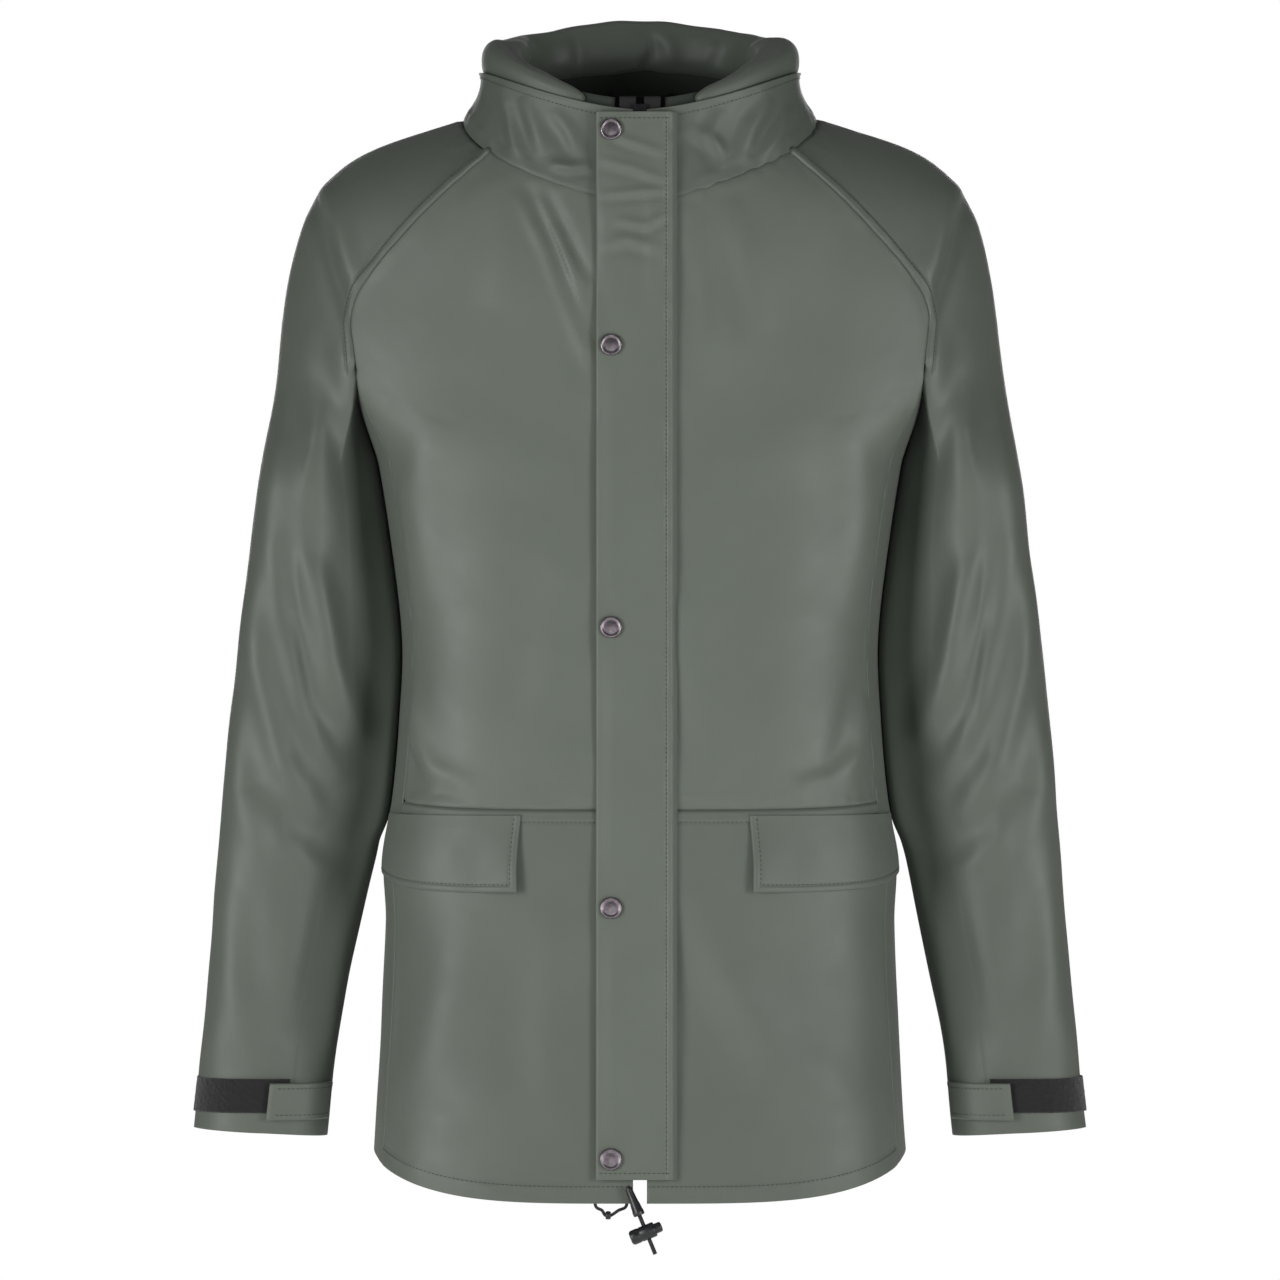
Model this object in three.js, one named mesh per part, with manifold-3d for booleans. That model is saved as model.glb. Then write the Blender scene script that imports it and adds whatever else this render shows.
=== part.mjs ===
// Men's waist-length waterproof jacket with raglan sleeves, standing as it is worn, arms hanging.
// Millimetres, +Z up, the front faces -Y and the wearer's left arm is on +X.
// The origin is the middle of the neck opening, level with the top of the collar's seam at the front snap.
import * as THREE from 'three';
import { mergeVertices } from 'three/addons/utils/BufferGeometryUtils.js';
import Module from 'manifold-3d';

const wasm = await Module();
wasm.setup();

// ---------------------------------------------------------------- driving dimensions
const CLOTH = 2.0; // coated shell fabric with its lining
const THIN = 1.6; // single layer with its hem turned in
const SEAM = 0.5; // gap left along a sewn seam
const FIT = 0.4; // clearance between pieces that lie on each other

const NECK = { halfWidth: 131, front: 105.2, back: 75, frontZ: -42, sideZ: 24, backZ: 20, lame: 2.4 };
const CHEST = { halfWidth: 264.3, front: 112.4, back: 118, z: -166, lame: 2.6 };
const SHOULDER = { x: 205, z: -100, radius: 66, clearance: 0.75 }; // axis and cut of the raised arm
const TORSO_LAME = 4; // how square the body's section is
const CORNER = 0.955; // where the front and back panels meet the side panel, as a share of the half width
const WAIST = { side: -477, frontDrop: 9 };
const HEM = { side: -736, frontDrop: 34, backDrop: 10 };
const CUFF = { z: -724, slant: 3 };

const FRONT = { topY: -101.5, topZ: 21, slope: 0.0581 }; // the straight line of the front closure
const ZIP = { gapHalf: 5, tapeOuter: 15, tapeTop: -12, tapeEnd: 768, toothInner: 0.8, toothOuter: 2.6 };
const TAPE_THICK = 0.8;
const TOOTH_THICK = 3.2;
const SLIDER = { halfWidth: 4.4, length: 14, top: -6, plate: 1.6 };
const PULL = { length: 25, width: 7, thick: 0.8, pin: 1.5, hole: 1.9 };
const FLAP = { free: -32, sewn: 24, bottomZ: -753, lift: 3.8, thick: 2.0 };
const SNAP_X = -21;
const SNAP_Z = [8, -149, -354, -557, -738];
const SNAP = { capRadius: 8, capHeight: 2.4, baseRadius: 5.5, postRadius: 2, socketBore: 2.6 };
const POCKETS = [
  { name: 'right', side: -1, inner: 86, outer: 187 },
  { name: 'left', side: 1, inner: 79, outer: 187 },
];
const POCKET = { top: -490, bottom: -546, outerRise: 13, mouth: 9, bagBottom: -690, bagDepth: 16 };
const COLLAR = { frontTop: 23, sideTop: 55, backTop: 68, halfWidth: 118, back: 72 };
const ROLL = { side: 18, back: 13, sideHeight: 17, tip: 3, tipHeight: 2.5 };
const TAPE = { top: -684, bottom: -709, thick: 1.0 };
const TAB = { top: -687, bottom: -714, thick: THIN };
const CORD = 1.5; // radius of the elastic hem cord
const CORD_END = { x: -9, proud: 4.698, aboveHem: 13, length: 53, tilt: 22.2 }; // where the cord comes out
const GUARD = { top: 2.5, bottom: 4.25, length: 23 };
const LOCK = { radius: 5.5, bore: 4.1, button: 3.8, left: -12.5, right: 7, down: 36, travel: 4 };
const LOOP = { radius: 1.2, left: -32, right: -10, drop: 8.5, bead: 3.1 };

const SHELL = { color: 0x60675f, roughness: 0.62, metalness: 0 };
const SHELL_LOW = { color: 0x535952, roughness: 0.62, metalness: 0 };
const SLEEVE = { color: 0x595e58, roughness: 0.62, metalness: 0 };
const LINING = { color: 0x1b201b, roughness: 0.85, metalness: 0 };
const TAPE_BLACK = { color: 0x17171a, roughness: 0.9, metalness: 0 };
const PEWTER = { color: 0x5c5b62, roughness: 0.35, metalness: 0.9 };
const BLACK_PLASTIC = { color: 0x1c1d1f, roughness: 0.45, metalness: 0 };

// ---------------------------------------------------------------- small helpers
const lerp = THREE.MathUtils.lerp;
const rad = THREE.MathUtils.degToRad;
const smooth = (x) => THREE.MathUtils.smoothstep(x, 0, 1);
const steps = (n, a = 0, b = 1) => Array.from({ length: n + 1 }, (_, i) => lerp(a, b, i / n));
const vec = (x, y, z) => new THREE.Vector3(x, y, z);

// Smooth value at x through a few [x, value] pairs, x falling from pair to pair.
function through(pairs, x) {
  const last = pairs.length - 1;
  if (x >= pairs[0][0]) return pairs[0][1];
  if (x <= pairs[last][0]) return pairs[last][1];
  let i = 0;
  while (x < pairs[i + 1][0]) i++;
  const slope = (k) => {
    const a = pairs[Math.max(k - 1, 0)];
    const b = pairs[Math.min(k + 1, last)];
    return (b[1] - a[1]) / (b[0] - a[0]);
  };
  const [[xa, ya], [xb, yb]] = [pairs[i], pairs[i + 1]];
  const h = xb - xa;
  const t = (x - xa) / h;
  const [m0, m1] = [slope(i) * h, slope(i + 1) * h];
  return (2 * t ** 3 - 3 * t ** 2 + 1) * ya + (t ** 3 - 2 * t ** 2 + t) * m0
    + (3 * t ** 2 - 2 * t ** 3) * yb + (t ** 3 - t ** 2) * m1;
}

// The other coordinate of a rounded square |x|^n + |y|^n = 1.
const lame = (x, n) => Math.max(0, 1 - Math.abs(x) ** n) ** (1 / n);
const power = (x, n) => Math.sign(x) * Math.abs(x) ** n;

const group = new THREE.Group();
const add = (name, geometry, look, parent = group) => {
  const mesh = new THREE.Mesh(geometry, new THREE.MeshStandardMaterial(look));
  mesh.name = name;
  parent.add(mesh);
  return mesh;
};

function meshOf(points, faces) {
  let volume = 0;
  for (const [a, b, c] of faces) volume += points[a].dot(vec().crossVectors(points[b], points[c]));
  const index = faces.flatMap(([a, b, c]) => (volume > 0 ? [a, b, c] : [a, c, b]));
  const geometry = new THREE.BufferGeometry();
  geometry.setAttribute('position', new THREE.Float32BufferAttribute(points.flatMap((p) => p.toArray()), 3));
  geometry.setIndex(index);
  geometry.computeVertexNormals();
  return geometry;
}

// A closed sheet between an outer and an inner grid of points. Cells where open(row, column) holds stay open.
function sheet(outer, inner, { wrap = false, open = () => false } = {}) {
  const rows = outer.length;
  const cols = outer[0].length;
  const cellCols = wrap ? cols : cols - 1;
  const at = (side, i, j) => side * rows * cols + i * cols + (j % cols);
  const filled = (i, j) => i >= 0 && i < rows - 1 && (wrap || (j >= 0 && j < cellCols))
    && !open(i, (j + cellCols) % cellCols);
  const faces = [];
  const quad = (a, b, c, d) => faces.push([a, b, c], [a, c, d]);
  for (let i = 0; i < rows - 1; i++) {
    for (let j = 0; j < cellCols; j++) {
      if (!filled(i, j)) continue;
      quad(at(0, i, j), at(0, i, j + 1), at(0, i + 1, j + 1), at(0, i + 1, j));
      quad(at(1, i, j), at(1, i + 1, j), at(1, i + 1, j + 1), at(1, i, j + 1));
      if (!filled(i - 1, j)) quad(at(0, i, j), at(1, i, j), at(1, i, j + 1), at(0, i, j + 1));
      if (!filled(i + 1, j)) quad(at(0, i + 1, j), at(0, i + 1, j + 1), at(1, i + 1, j + 1), at(1, i + 1, j));
      if (!filled(i, j - 1)) quad(at(0, i, j), at(0, i + 1, j), at(1, i + 1, j), at(1, i, j));
      if (!filled(i, j + 1)) quad(at(0, i, j + 1), at(1, i, j + 1), at(1, i + 1, j + 1), at(0, i + 1, j + 1));
    }
  }
  return meshOf([...outer.flat(), ...inner.flat()], faces);
}

// Grid of points at `out` above surface(u, v); `core` is the x of the upright line the surface bends round.
function grid(surface, us, vs, out, core = 0) {
  const e = 1e-3;
  const [u0, u1, v0, v1] = [Math.min(...us), Math.max(...us), Math.min(...vs), Math.max(...vs)];
  return vs.map((v) => us.map((u) => {
    const p = surface(u, v);
    const du = surface(Math.min(u + e, u1), v).sub(surface(Math.max(u - e, u0), v));
    const dv = surface(u, Math.min(v + e, v1)).sub(surface(u, Math.max(v - e, v0)));
    const normal = du.cross(dv).normalize();
    if (normal.dot(vec(p.x - core, p.y, 0)) < 0) normal.negate();
    const lift = typeof out === 'function' ? out(u, v) : out;
    return p.clone().addScaledVector(normal, lift);
  }));
}

// Draws the four edges of a grid back by half a seam gap.
// `mitre` draws the first and last column further back where two panels meet at a corner.
function trim(points, { columns = true, rows = true, mitre = [0, 0] } = {}) {
  const pull = (p, q, more = 0) => p.addScaledVector(q.clone().sub(p).normalize(), SEAM / 2 + more);
  const last = points.length - 1;
  if (columns) points.forEach((row) => {
    pull(row[0], row[1], mitre[0]);
    pull(row.at(-1), row.at(-2), mitre[1]);
  });
  if (rows) points[0].forEach((p, j) => {
    pull(p, points[1][j]);
    pull(points[last][j], points[last - 1][j]);
  });
  return points;
}

// A fabric panel on a surface, its face `out` above it and `thick` deep.
function panel(surface, us, vs, { out = 0, thick = CLOTH, core = 0, open, rim = {}, mitre } = {}) {
  const under = typeof out === 'function' ? (u, v) => out(u, v) - thick : out - thick;
  const outer = trim(grid(surface, us, vs, out, core), rim);
  const inner = trim(grid(surface, us, vs, under, core), { ...rim, mitre });
  return { outer, inner, open };
}
const sewn = ({ outer, inner, open }) => sheet(outer, inner, { open });

// A solid through a row of closed rings, capped at both ends.
function loft(rings) {
  const n = rings[0].length;
  const points = rings.flat();
  const middle = (ring) => ring.reduce((sum, p) => sum.add(p), vec()).divideScalar(n);
  points.push(middle(rings[0]), middle(rings.at(-1)));
  const faces = [];
  const last = (rings.length - 1) * n;
  for (let j = 0; j < n; j++) {
    const k = (j + 1) % n;
    for (let a = 0; a < last; a += n) faces.push([a + j, a + k, a + n + k], [a + j, a + n + k, a + n + j]);
    faces.push([rings.length * n, k, j], [rings.length * n + 1, last + j, last + k]);
  }
  return meshOf(points, faces);
}

// Closed mesh to solid and back, for joins and cuts.
function solid(geometry) {
  const bare = geometry.clone();
  bare.deleteAttribute('normal');
  bare.deleteAttribute('uv');
  const merged = mergeVertices(bare, 1e-4);
  return new wasm.Manifold(new wasm.Mesh({
    numProp: 3,
    vertProperties: merged.attributes.position.array,
    triVerts: new Uint32Array(merged.index.array),
  }));
}
function geometryOf(manifold) {
  const { vertProperties, triVerts } = manifold.getMesh();
  const geometry = new THREE.BufferGeometry();
  geometry.setAttribute('position', new THREE.Float32BufferAttribute(vertProperties, 3));
  geometry.setIndex([...triVerts]);
  geometry.computeVertexNormals();
  return geometry;
}

const turned = (outline, segments) => {
  const geometry = new THREE.LatheGeometry(outline.map(([r, h]) => new THREE.Vector2(r, h)), segments);
  return geometry;
};

// ---------------------------------------------------------------- the front closure's own frame
// x stays x, -y stands out of the front, and -z runs down the closure from its top.
const closure = new THREE.Group();
closure.position.set(0, FRONT.topY, FRONT.topZ);
closure.rotation.set(-Math.atan(FRONT.slope), 0, 0);
group.add(closure);
const lengthTo = (z) => (FRONT.topZ - z) * Math.hypot(1, FRONT.slope);
const frontY = (z) => FRONT.topY - FRONT.slope * (FRONT.topZ - z);

// Plate in the closure's frame: across x, standing from n0 to n1 proud of the front, and from a to b down it.
function plate(x0, x1, n0, n1, a, b) {
  const geometry = new THREE.BoxGeometry(x1 - x0, n1 - n0, b - a);
  geometry.translate((x0 + x1) / 2, -(n0 + n1) / 2, -(a + b) / 2);
  return geometry;
}

// ---------------------------------------------------------------- body surfaces, right half (x > 0)
// Neck seam and chest ring: angle -90 is the front, 0 the side and 90 the back.
function neckRing(a) {
  const [c, s] = [Math.cos(rad(a)), Math.sin(rad(a))];
  const middle = (NECK.back - NECK.front) / 2;
  const half = (NECK.back + NECK.front) / 2;
  const z = s < 0
    ? NECK.frontZ + (NECK.sideZ - NECK.frontZ) * (1 + s) ** 0.62
    : lerp(NECK.sideZ, NECK.backZ, s);
  return vec(NECK.halfWidth * power(c, 2 / NECK.lame), middle + half * power(s, 2 / NECK.lame), z);
}
const shoulderCut = (x, radius) => SHOULDER.z - Math.sqrt(Math.max(0, radius ** 2 - (x - SHOULDER.x) ** 2));
function chestRing(a) {
  const [c, s] = [Math.cos(rad(a)), Math.sin(rad(a))];
  const x = CHEST.halfWidth * power(c, 2 / CHEST.lame);
  const y = (s < 0 ? CHEST.front : CHEST.back) * power(s, 2 / CHEST.lame);
  return vec(x, y, x > SHOULDER.x ? shoulderCut(x, SHOULDER.radius) : CHEST.z);
}
// From the neck seam (t = 0) over the shoulder to the chest ring (t = 1).
function yoke(a, t) {
  const [n, s] = [neckRing(a), chestRing(a)];
  const weight = Math.abs(Math.cos(rad(a))) ** 1.2;
  const bezier = (p, q) => 3 * (1 - t) ** 2 * t * p + 3 * (1 - t) * t ** 2 * q + t ** 3;
  const across = lerp(a < 0 ? t : 1 - (1 - t) ** 1.8, bezier(0.75, 0.87), weight);
  const down = lerp(t, bezier(0.2, 0.2), weight);
  return vec(lerp(n.x, s.x, across), lerp(n.y, s.y, across), lerp(n.z, s.z, down));
}
// x of the raglan seam at a height.
const raglanX = (z) => through(
  [[60, 55], [20, 86], [0, 104], [-52, 159], [-104, 203], [-125, 211], [-150, 209], [-166, 207]], z);

function bisect(test, from, to) {
  let [a, b] = [from, to];
  for (let i = 0; i < 40; i++) {
    const m = (a + b) / 2;
    if (test(m)) b = m;
    else a = m;
  }
  return (a + b) / 2;
}
const seamAngle = (t, end) => bisect((f) => {
  const p = yoke(lerp(0, end, f), t);
  return p.x < raglanX(p.z);
}, 0, 1) * end;
const zipAngle = (t) => -bisect((a) => yoke(-a, t).x < ZIP.gapHalf, 45, 90);

const halfWidth = (z) => through([[-166, 204], [-207, 196], [-285, 183], [-363, 174], [-420, 176],
  [-477, 181], [-525, 189], [-570, 187], [-644, 190], [-703, 194], [-770, 198]], z);
const backDepth = (z) => through([[-166, 118], [-300, 122], [-480, 118], [-620, 128], [-770, 136]], z);
const waistZ = (y) => WAIST.side - WAIST.frontDrop * Math.max(0, -y) ** 2;
const hemZ = (y) => HEM.side - (y < 0 ? HEM.frontDrop * (-y) ** 3 : HEM.backDrop * y ** 2);
const below = (z) => smooth((CHEST.z - z) / 70);
const frontGrowth = (z) => frontY(z) / frontY(CHEST.z);
const backGrowth = (z) => backDepth(z) / CHEST.back;
const CORNER_Y = lame(CORNER, TORSO_LAME);

// Height of row v on the upright line whose share of the depth is y: 1 chest, 2 waist, 3 hem.
const rowZ = (v, y) => (v < 2 ? lerp(CHEST.z, waistZ(y), v - 1) : lerp(waistZ(y), hemZ(y), v - 2));

// Front (s from the zip edge, 0, to the side panel, 1).
function frontSkin(s, v) {
  if (v < 1) return yoke(lerp(zipAngle(v), seamAngle(v, -90), s), v);
  const top = yoke(lerp(zipAngle(1), seamAngle(1, -90), s), 1);
  const share = lerp(ZIP.gapHalf / CHEST.halfWidth, CORNER, s);
  const y = -lame(share, TORSO_LAME);
  const z = rowZ(v, y);
  const k = below(z);
  const x = s === 0 ? ZIP.gapHalf : share * halfWidth(z);
  return vec(lerp(top.x, x, k), lerp(top.y * frontGrowth(z), y * -frontY(z), k), z);
}
// Back (s from the left side panel, -1, to the right, 1).
function backSkin(s, v) {
  const side = s < 0 ? -1 : 1;
  const a = (t) => lerp(90, seamAngle(t, 90), Math.abs(s));
  if (v < 1) return yoke(a(v), v).multiply(vec(side, 1, 1));
  const top = yoke(a(1), 1);
  const share = CORNER * Math.abs(s);
  const y = lame(share, TORSO_LAME);
  const z = rowZ(v, y);
  const k = below(z);
  return vec(side * lerp(top.x, share * halfWidth(z), k), lerp(top.y * backGrowth(z), y * backDepth(z), k), z);
}
// Side panel (s from the front panel, 0, to the back panel, 1), v from 1.
function sideSkin(s, v) {
  const [f, b] = [yoke(seamAngle(1, -90), 1), yoke(seamAngle(1, 90), 1)];
  const y = lerp(-CORNER_Y, CORNER_Y, s);
  const z = rowZ(v, y);
  const k = below(z);
  const depth = y < 0 ? -frontY(z) : backDepth(z);
  return vec(lerp(lerp(f.x, b.x, s), lame(y, TORSO_LAME) * halfWidth(z), k),
    lerp(lerp(f.y * frontGrowth(z), b.y * backGrowth(z), s), y * depth, k), z);
}
// Point of the body's front at a height and a distance from the middle.
const frontAt = (x, z) => vec(x, frontY(z) * lame(x / halfWidth(z), TORSO_LAME), z);
const mirrored = (surface, side) => (u, v) => surface(u, v).multiply(vec(side, 1, 1));

// ---------------------------------------------------------------- sleeve surface
// Angle 0 is the outer edge, -90 the front, 90 the back and 180 the edge beside the body.
const sleeveOuter = (z) => through([[-129, 264.3], [-170, 269], [-259, 282], [-377, 296], [-496, 308],
  [-614, 318], [-673, 323], [-727, 329]], z);
const sleeveInner = (z) => through([[-166, 208.8], [-207, 199], [-285, 186], [-363, 177], [-420, 178.5],
  [-477, 184], [-525, 196], [-585, 209], [-644, 220], [-727, 230]], z);
const sleeveMiddle = (z) => through([[-130, 2], [-207, 0], [-363, -8], [-496, -18], [-614, -26], [-727, -32]], z);
const sleeveDepth = (z) => through([[-130, 98], [-207, 92], [-363, 75], [-496, 62], [-614, 48], [-727, 36]], z);
const ARMPIT_ANGLE = 110;
const FREE = 1.8; // how far the sleeve stays off the body at the armpit

function armTop(a) {
  const size = Math.abs(a);
  const end = seamAngle(1, a < 0 ? -90 : 90);
  const edge = yoke(end, 1);
  const inner = edge.x + FREE;
  if (size > ARMPIT_ANGLE) {
    const share = (size - ARMPIT_ANGLE) / (180 - ARMPIT_ANGLE);
    return vec(inner, lerp(edge.y, 1, share), 0);
  }
  const p = chestRing(end * (size / ARMPIT_ANGLE));
  const far = CHEST.halfWidth;
  return vec(far - (far - p.x) * (far - inner) / (far - edge.x), p.y, 0);
}
function armSkin(a, z) {
  const k = smooth((CHEST.z - z) / 90);
  const top = armTop(a);
  const [c, s] = [Math.cos(rad(a)), Math.sin(rad(a))];
  const [xo, xi] = [sleeveOuter(z), sleeveInner(z)];
  const x = (xo + xi) / 2 + (xo - xi) / 2 * power(c, 0.833);
  const y = sleeveMiddle(z) + sleeveDepth(z) * power(s, 0.833);
  return vec(lerp(top.x, x, k), lerp(top.y, y, k), z);
}
const ARM_RIM = SHOULDER.radius + SHOULDER.clearance;
const cuffZ = (a) => CUFF.z + CUFF.slant * Math.cos(rad(a));
const armTopZ = (a) => shoulderCut(armTop(a).x, ARM_RIM);
const armPanelSkin = (a, v) => armSkin(a, lerp(armTopZ(a), cuffZ(a), v));

// Moves one row of both faces of a panel onto a cylinder round the shoulder's axis.
function cutRound(piece, row, radius) {
  for (const side of [piece.outer, piece.inner]) {
    side.at(row).forEach((p) => { p.z = shoulderCut(Math.abs(p.x), radius); });
  }
}

// ---------------------------------------------------------------- body panels, caps and sleeves
const YOKE_ROWS = [0, 0.14, 0.28, 0.42, 0.54, 0.66, 0.78, 0.89];
const UPPER_ROWS = [...YOKE_ROWS, 1, 1.1, 1.22, 1.4, 1.6, 1.8, 2];
const MOUTH_TOP = 0.06; // pocket mouth, as a share of the skirt's height
const mouthEnd = MOUTH_TOP + POCKET.mouth / (WAIST.side - HEM.side);
const SKIRT_ROWS = [2, 2 + MOUTH_TOP, 2 + mouthEnd, 2.22, 2.38, 2.54, 2.7, 2.85, 3];
const FRONT_COLUMNS = [0, 0.05, 0.12, 0.25, 0.38, 0.5, 0.62, 0.73, 0.83, 0.91, 1];
const MOUTH_COLUMNS = [5, 7];
const BACK_COLUMNS = [-1, -0.9, -0.76, -0.6, -0.4, -0.2, 0, 0.2, 0.4, 0.6, 0.76, 0.9, 1];
const SIDE_COLUMNS = steps(5);
const MITRE = 1.4; // cut back inside the corners of the body

for (const { name, side } of POCKETS) {
  const front = mirrored(frontSkin, side);
  add(`front_upper_${name}`, sewn(panel(front, FRONT_COLUMNS, UPPER_ROWS, { mitre: [0, MITRE] })), SHELL);
  const mouth = (i, j) => i === 1 && j >= MOUTH_COLUMNS[0] && j <= MOUTH_COLUMNS[1];
  add(`front_lower_${name}`, sewn(panel(front, FRONT_COLUMNS, SKIRT_ROWS, { open: mouth, mitre: [0, MITRE] })),
    SHELL_LOW);
  const sideRows = [...UPPER_ROWS.filter((v) => v >= 1), ...SKIRT_ROWS.slice(1)];
  const flank = panel(mirrored(sideSkin, side), SIDE_COLUMNS, sideRows, { mitre: [MITRE, MITRE] });
  add(`side_panel_${name}`, sewn(flank), SHELL_LOW);

  // Pocket bag behind the mouth, deepest in its middle.
  const bagColumns = [0.46, ...FRONT_COLUMNS.slice(MOUTH_COLUMNS[0], MOUTH_COLUMNS[1] + 3)];
  const rowOf = (z) => 2 + (WAIST.side - z) / (WAIST.side - HEM.side + HEM.frontDrop / 2);
  const bagRows = steps(7, 2 + MOUTH_TOP * 0.6, rowOf(POCKET.bagBottom));
  const belly = (u, v) => {
    const a = (u - bagColumns[0]) / (bagColumns.at(-1) - bagColumns[0]);
    const b = (v - bagRows[0]) / (bagRows.at(-1) - bagRows[0]);
    return -CLOTH - 3 * FIT - POCKET.bagDepth * Math.min(1, 6 * a * (1 - a)) * Math.min(1, 7 * b * (1 - b));
  };
  const bag = panel(front, bagColumns, bagRows, { out: belly, thick: 1.2, rim: { columns: false, rows: false } });
  add(`pocket_bag_${name}`, sewn(bag), LINING);
}
add('back_upper', sewn(panel(backSkin, BACK_COLUMNS, UPPER_ROWS, { mitre: [MITRE, MITRE] })), SHELL);
add('back_lower', sewn(panel(backSkin, BACK_COLUMNS, SKIRT_ROWS, { mitre: [MITRE, MITRE] })), SHELL_LOW);

const ARM_ROWS = [0, 0.05, 0.11, 0.19, 0.29, 0.4, 0.52, 0.64, 0.76, 0.88, 1];
const ARM_STEP = 18; // degrees between the sleeve's columns
for (const [name, side] of [['right', -1], ['left', 1]]) {
  const capSkin = (s, t) => yoke(s < 0 ? lerp(0, seamAngle(t, -90), -s) : lerp(0, seamAngle(t, 90), s), t)
    .multiply(vec(side, 1, 1));
  const capColumns = steps(12, -1, 1);
  const cap = panel(capSkin, capColumns, [...YOKE_ROWS, 1]);
  cutRound(cap, -1, SHOULDER.radius - SEAM / 2);
  add(`sleeve_cap_${name}`, sewn(cap), SLEEVE);

  const arm = mirrored(armPanelSkin, side);
  const core = side * (sleeveOuter(-400) + sleeveInner(-400)) / 2;
  for (const [half, from, to] of [['front', -180, 0], ['back', 0, 180]]) {
    const piece = panel(arm, steps(180 / ARM_STEP, from, to), ARM_ROWS, { core });
    cutRound(piece, 0, ARM_RIM);
    add(`sleeve_${half}_${name}`, sewn(piece), SLEEVE);
  }

  // Cuff: the loop tape sewn round the outside, and the tab with its hook patch that closes over it.
  const cuffSkin = mirrored(armSkin, side);
  const onCuff = (columns, top, bottom, out, thick) => sewn(panel(cuffSkin, columns, [top, bottom],
    { out, thick, core: side * 280, rim: { columns: false, rows: false } }));
  const over = 2 * FIT + TAPE.thick;
  add(`cuff_loop_tape_${name}`, onCuff(steps(10, -6 * ARM_STEP, 4 * ARM_STEP), TAPE.top, TAPE.bottom, over, TAPE.thick),
    TAPE_BLACK);
  add(`cuff_hook_patch_${name}`, onCuff([-6 * ARM_STEP, -97], TAPE.top - 4, TAPE.bottom - 2, over + 1.2, 0.8),
    TAPE_BLACK);
  const [hinge, end] = [-9 * ARM_STEP, -93];
  const lift = (a) => TAB.thick + lerp(FIT, over + 1.6, smooth((a - hinge) / 40));
  add(`cuff_tab_${name}`, onCuff([...steps(6, hinge, -6 * ARM_STEP), -100, end], TAB.top, TAB.bottom, lift, TAB.thick), SHELL_LOW);
}

// ---------------------------------------------------------------- collar
// Top edge of the stand, with the same angles as the neck seam.
function collarTop(a) {
  const [c, s] = [Math.cos(rad(a)), Math.sin(rad(a))];
  const x = power(c, 2 / NECK.lame);
  const front = -frontY(COLLAR.frontTop);
  const middle = (COLLAR.back - front) / 2;
  const half = (COLLAR.back + front) / 2;
  const z = s < 0
    ? lerp(COLLAR.frontTop, COLLAR.sideTop, x ** 1.6)
    : lerp(COLLAR.sideTop, COLLAR.backTop, s ** 2);
  return vec(COLLAR.halfWidth * x, middle + half * power(s, 2 / NECK.lame), z);
}
const collarSkin = (a, w) => {
  const [n, t] = [neckRing(Math.abs(a) - 90), collarTop(Math.abs(a) - 90)];
  const inward = lerp(w, 1 - (1 - w) ** 2.4, Math.min(1, n.x / 60));
  const p = vec(lerp(n.x, t.x, inward), lerp(n.y, t.y, inward), lerp(n.z + SEAM, t.z, w));
  return p.multiply(vec(a < 0 ? -1 : 1, 1, 1));
};
// Columns run round the neck from the right front edge over the back to the left front edge; 0 is the front.
const turnedRound = (surface) => (u, v) => surface(u < 0 ? -180 - u : 180 - u, v);
const edgeAngle = (x) => bisect((a) => neckRing(a - 90).x > x, 0, 30);
const collarColumns = (x) => [...steps(12, edgeAngle(x), 90), ...steps(8, 90, 180).slice(1)].map((a) => 180 - a);
const bothWays = (columns) => [...columns.map((u) => -u).sort((a, b) => a - b),
  ...columns.map((u) => u).sort((a, b) => a - b).filter((u) => u > 0)];
add('collar_stand', sewn(panel(turnedRound(collarSkin), bothWays(collarColumns(ZIP.gapHalf + 0.5)), steps(4))), SHELL);

// Hood rolled up inside the top of the collar.
function rollSize(a) {
  const s = Math.sin(rad(a));
  const m = s < 0 ? (1 + s) ** 0.6 : 1;
  return {
    out: s < 0 ? lerp(ROLL.tip, ROLL.side, m) : lerp(ROLL.side, ROLL.back, s ** 2),
    up: lerp(ROLL.tipHeight, ROLL.sideHeight, m),
  };
}
function rollCentre(a) {
  const top = collarTop(a);
  const { out, up } = rollSize(a);
  const inward = vec(-Math.cos(rad(a)), -Math.sin(rad(a)), 0);
  return top.addScaledVector(inward, out + CLOTH).add(vec(0, 0, up * 0.53));
}
const ROLL_START = 17; // degrees from the front at which the roll begins
const rollAngles = steps(30, ROLL_START - 90, 270 - ROLL_START);
const foldedBack = (a) => (a > 90 ? 180 - a : a);
add('hood_roll', loft(rollAngles.map((angle) => {
  const a = foldedBack(angle);
  const side = angle > 90 ? -1 : 1;
  const centre = rollCentre(a);
  const { out, up } = rollSize(a);
  const outward = vec(Math.cos(rad(a)), Math.sin(rad(a)), 0);
  return steps(12, 0, 2 * Math.PI).slice(0, -1).map((b) => centre.clone()
    .addScaledVector(outward, out * Math.cos(b)).add(vec(0, 0, up * Math.sin(b)))
    .multiply(vec(side, 1, 1)));
})), SHELL);

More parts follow.
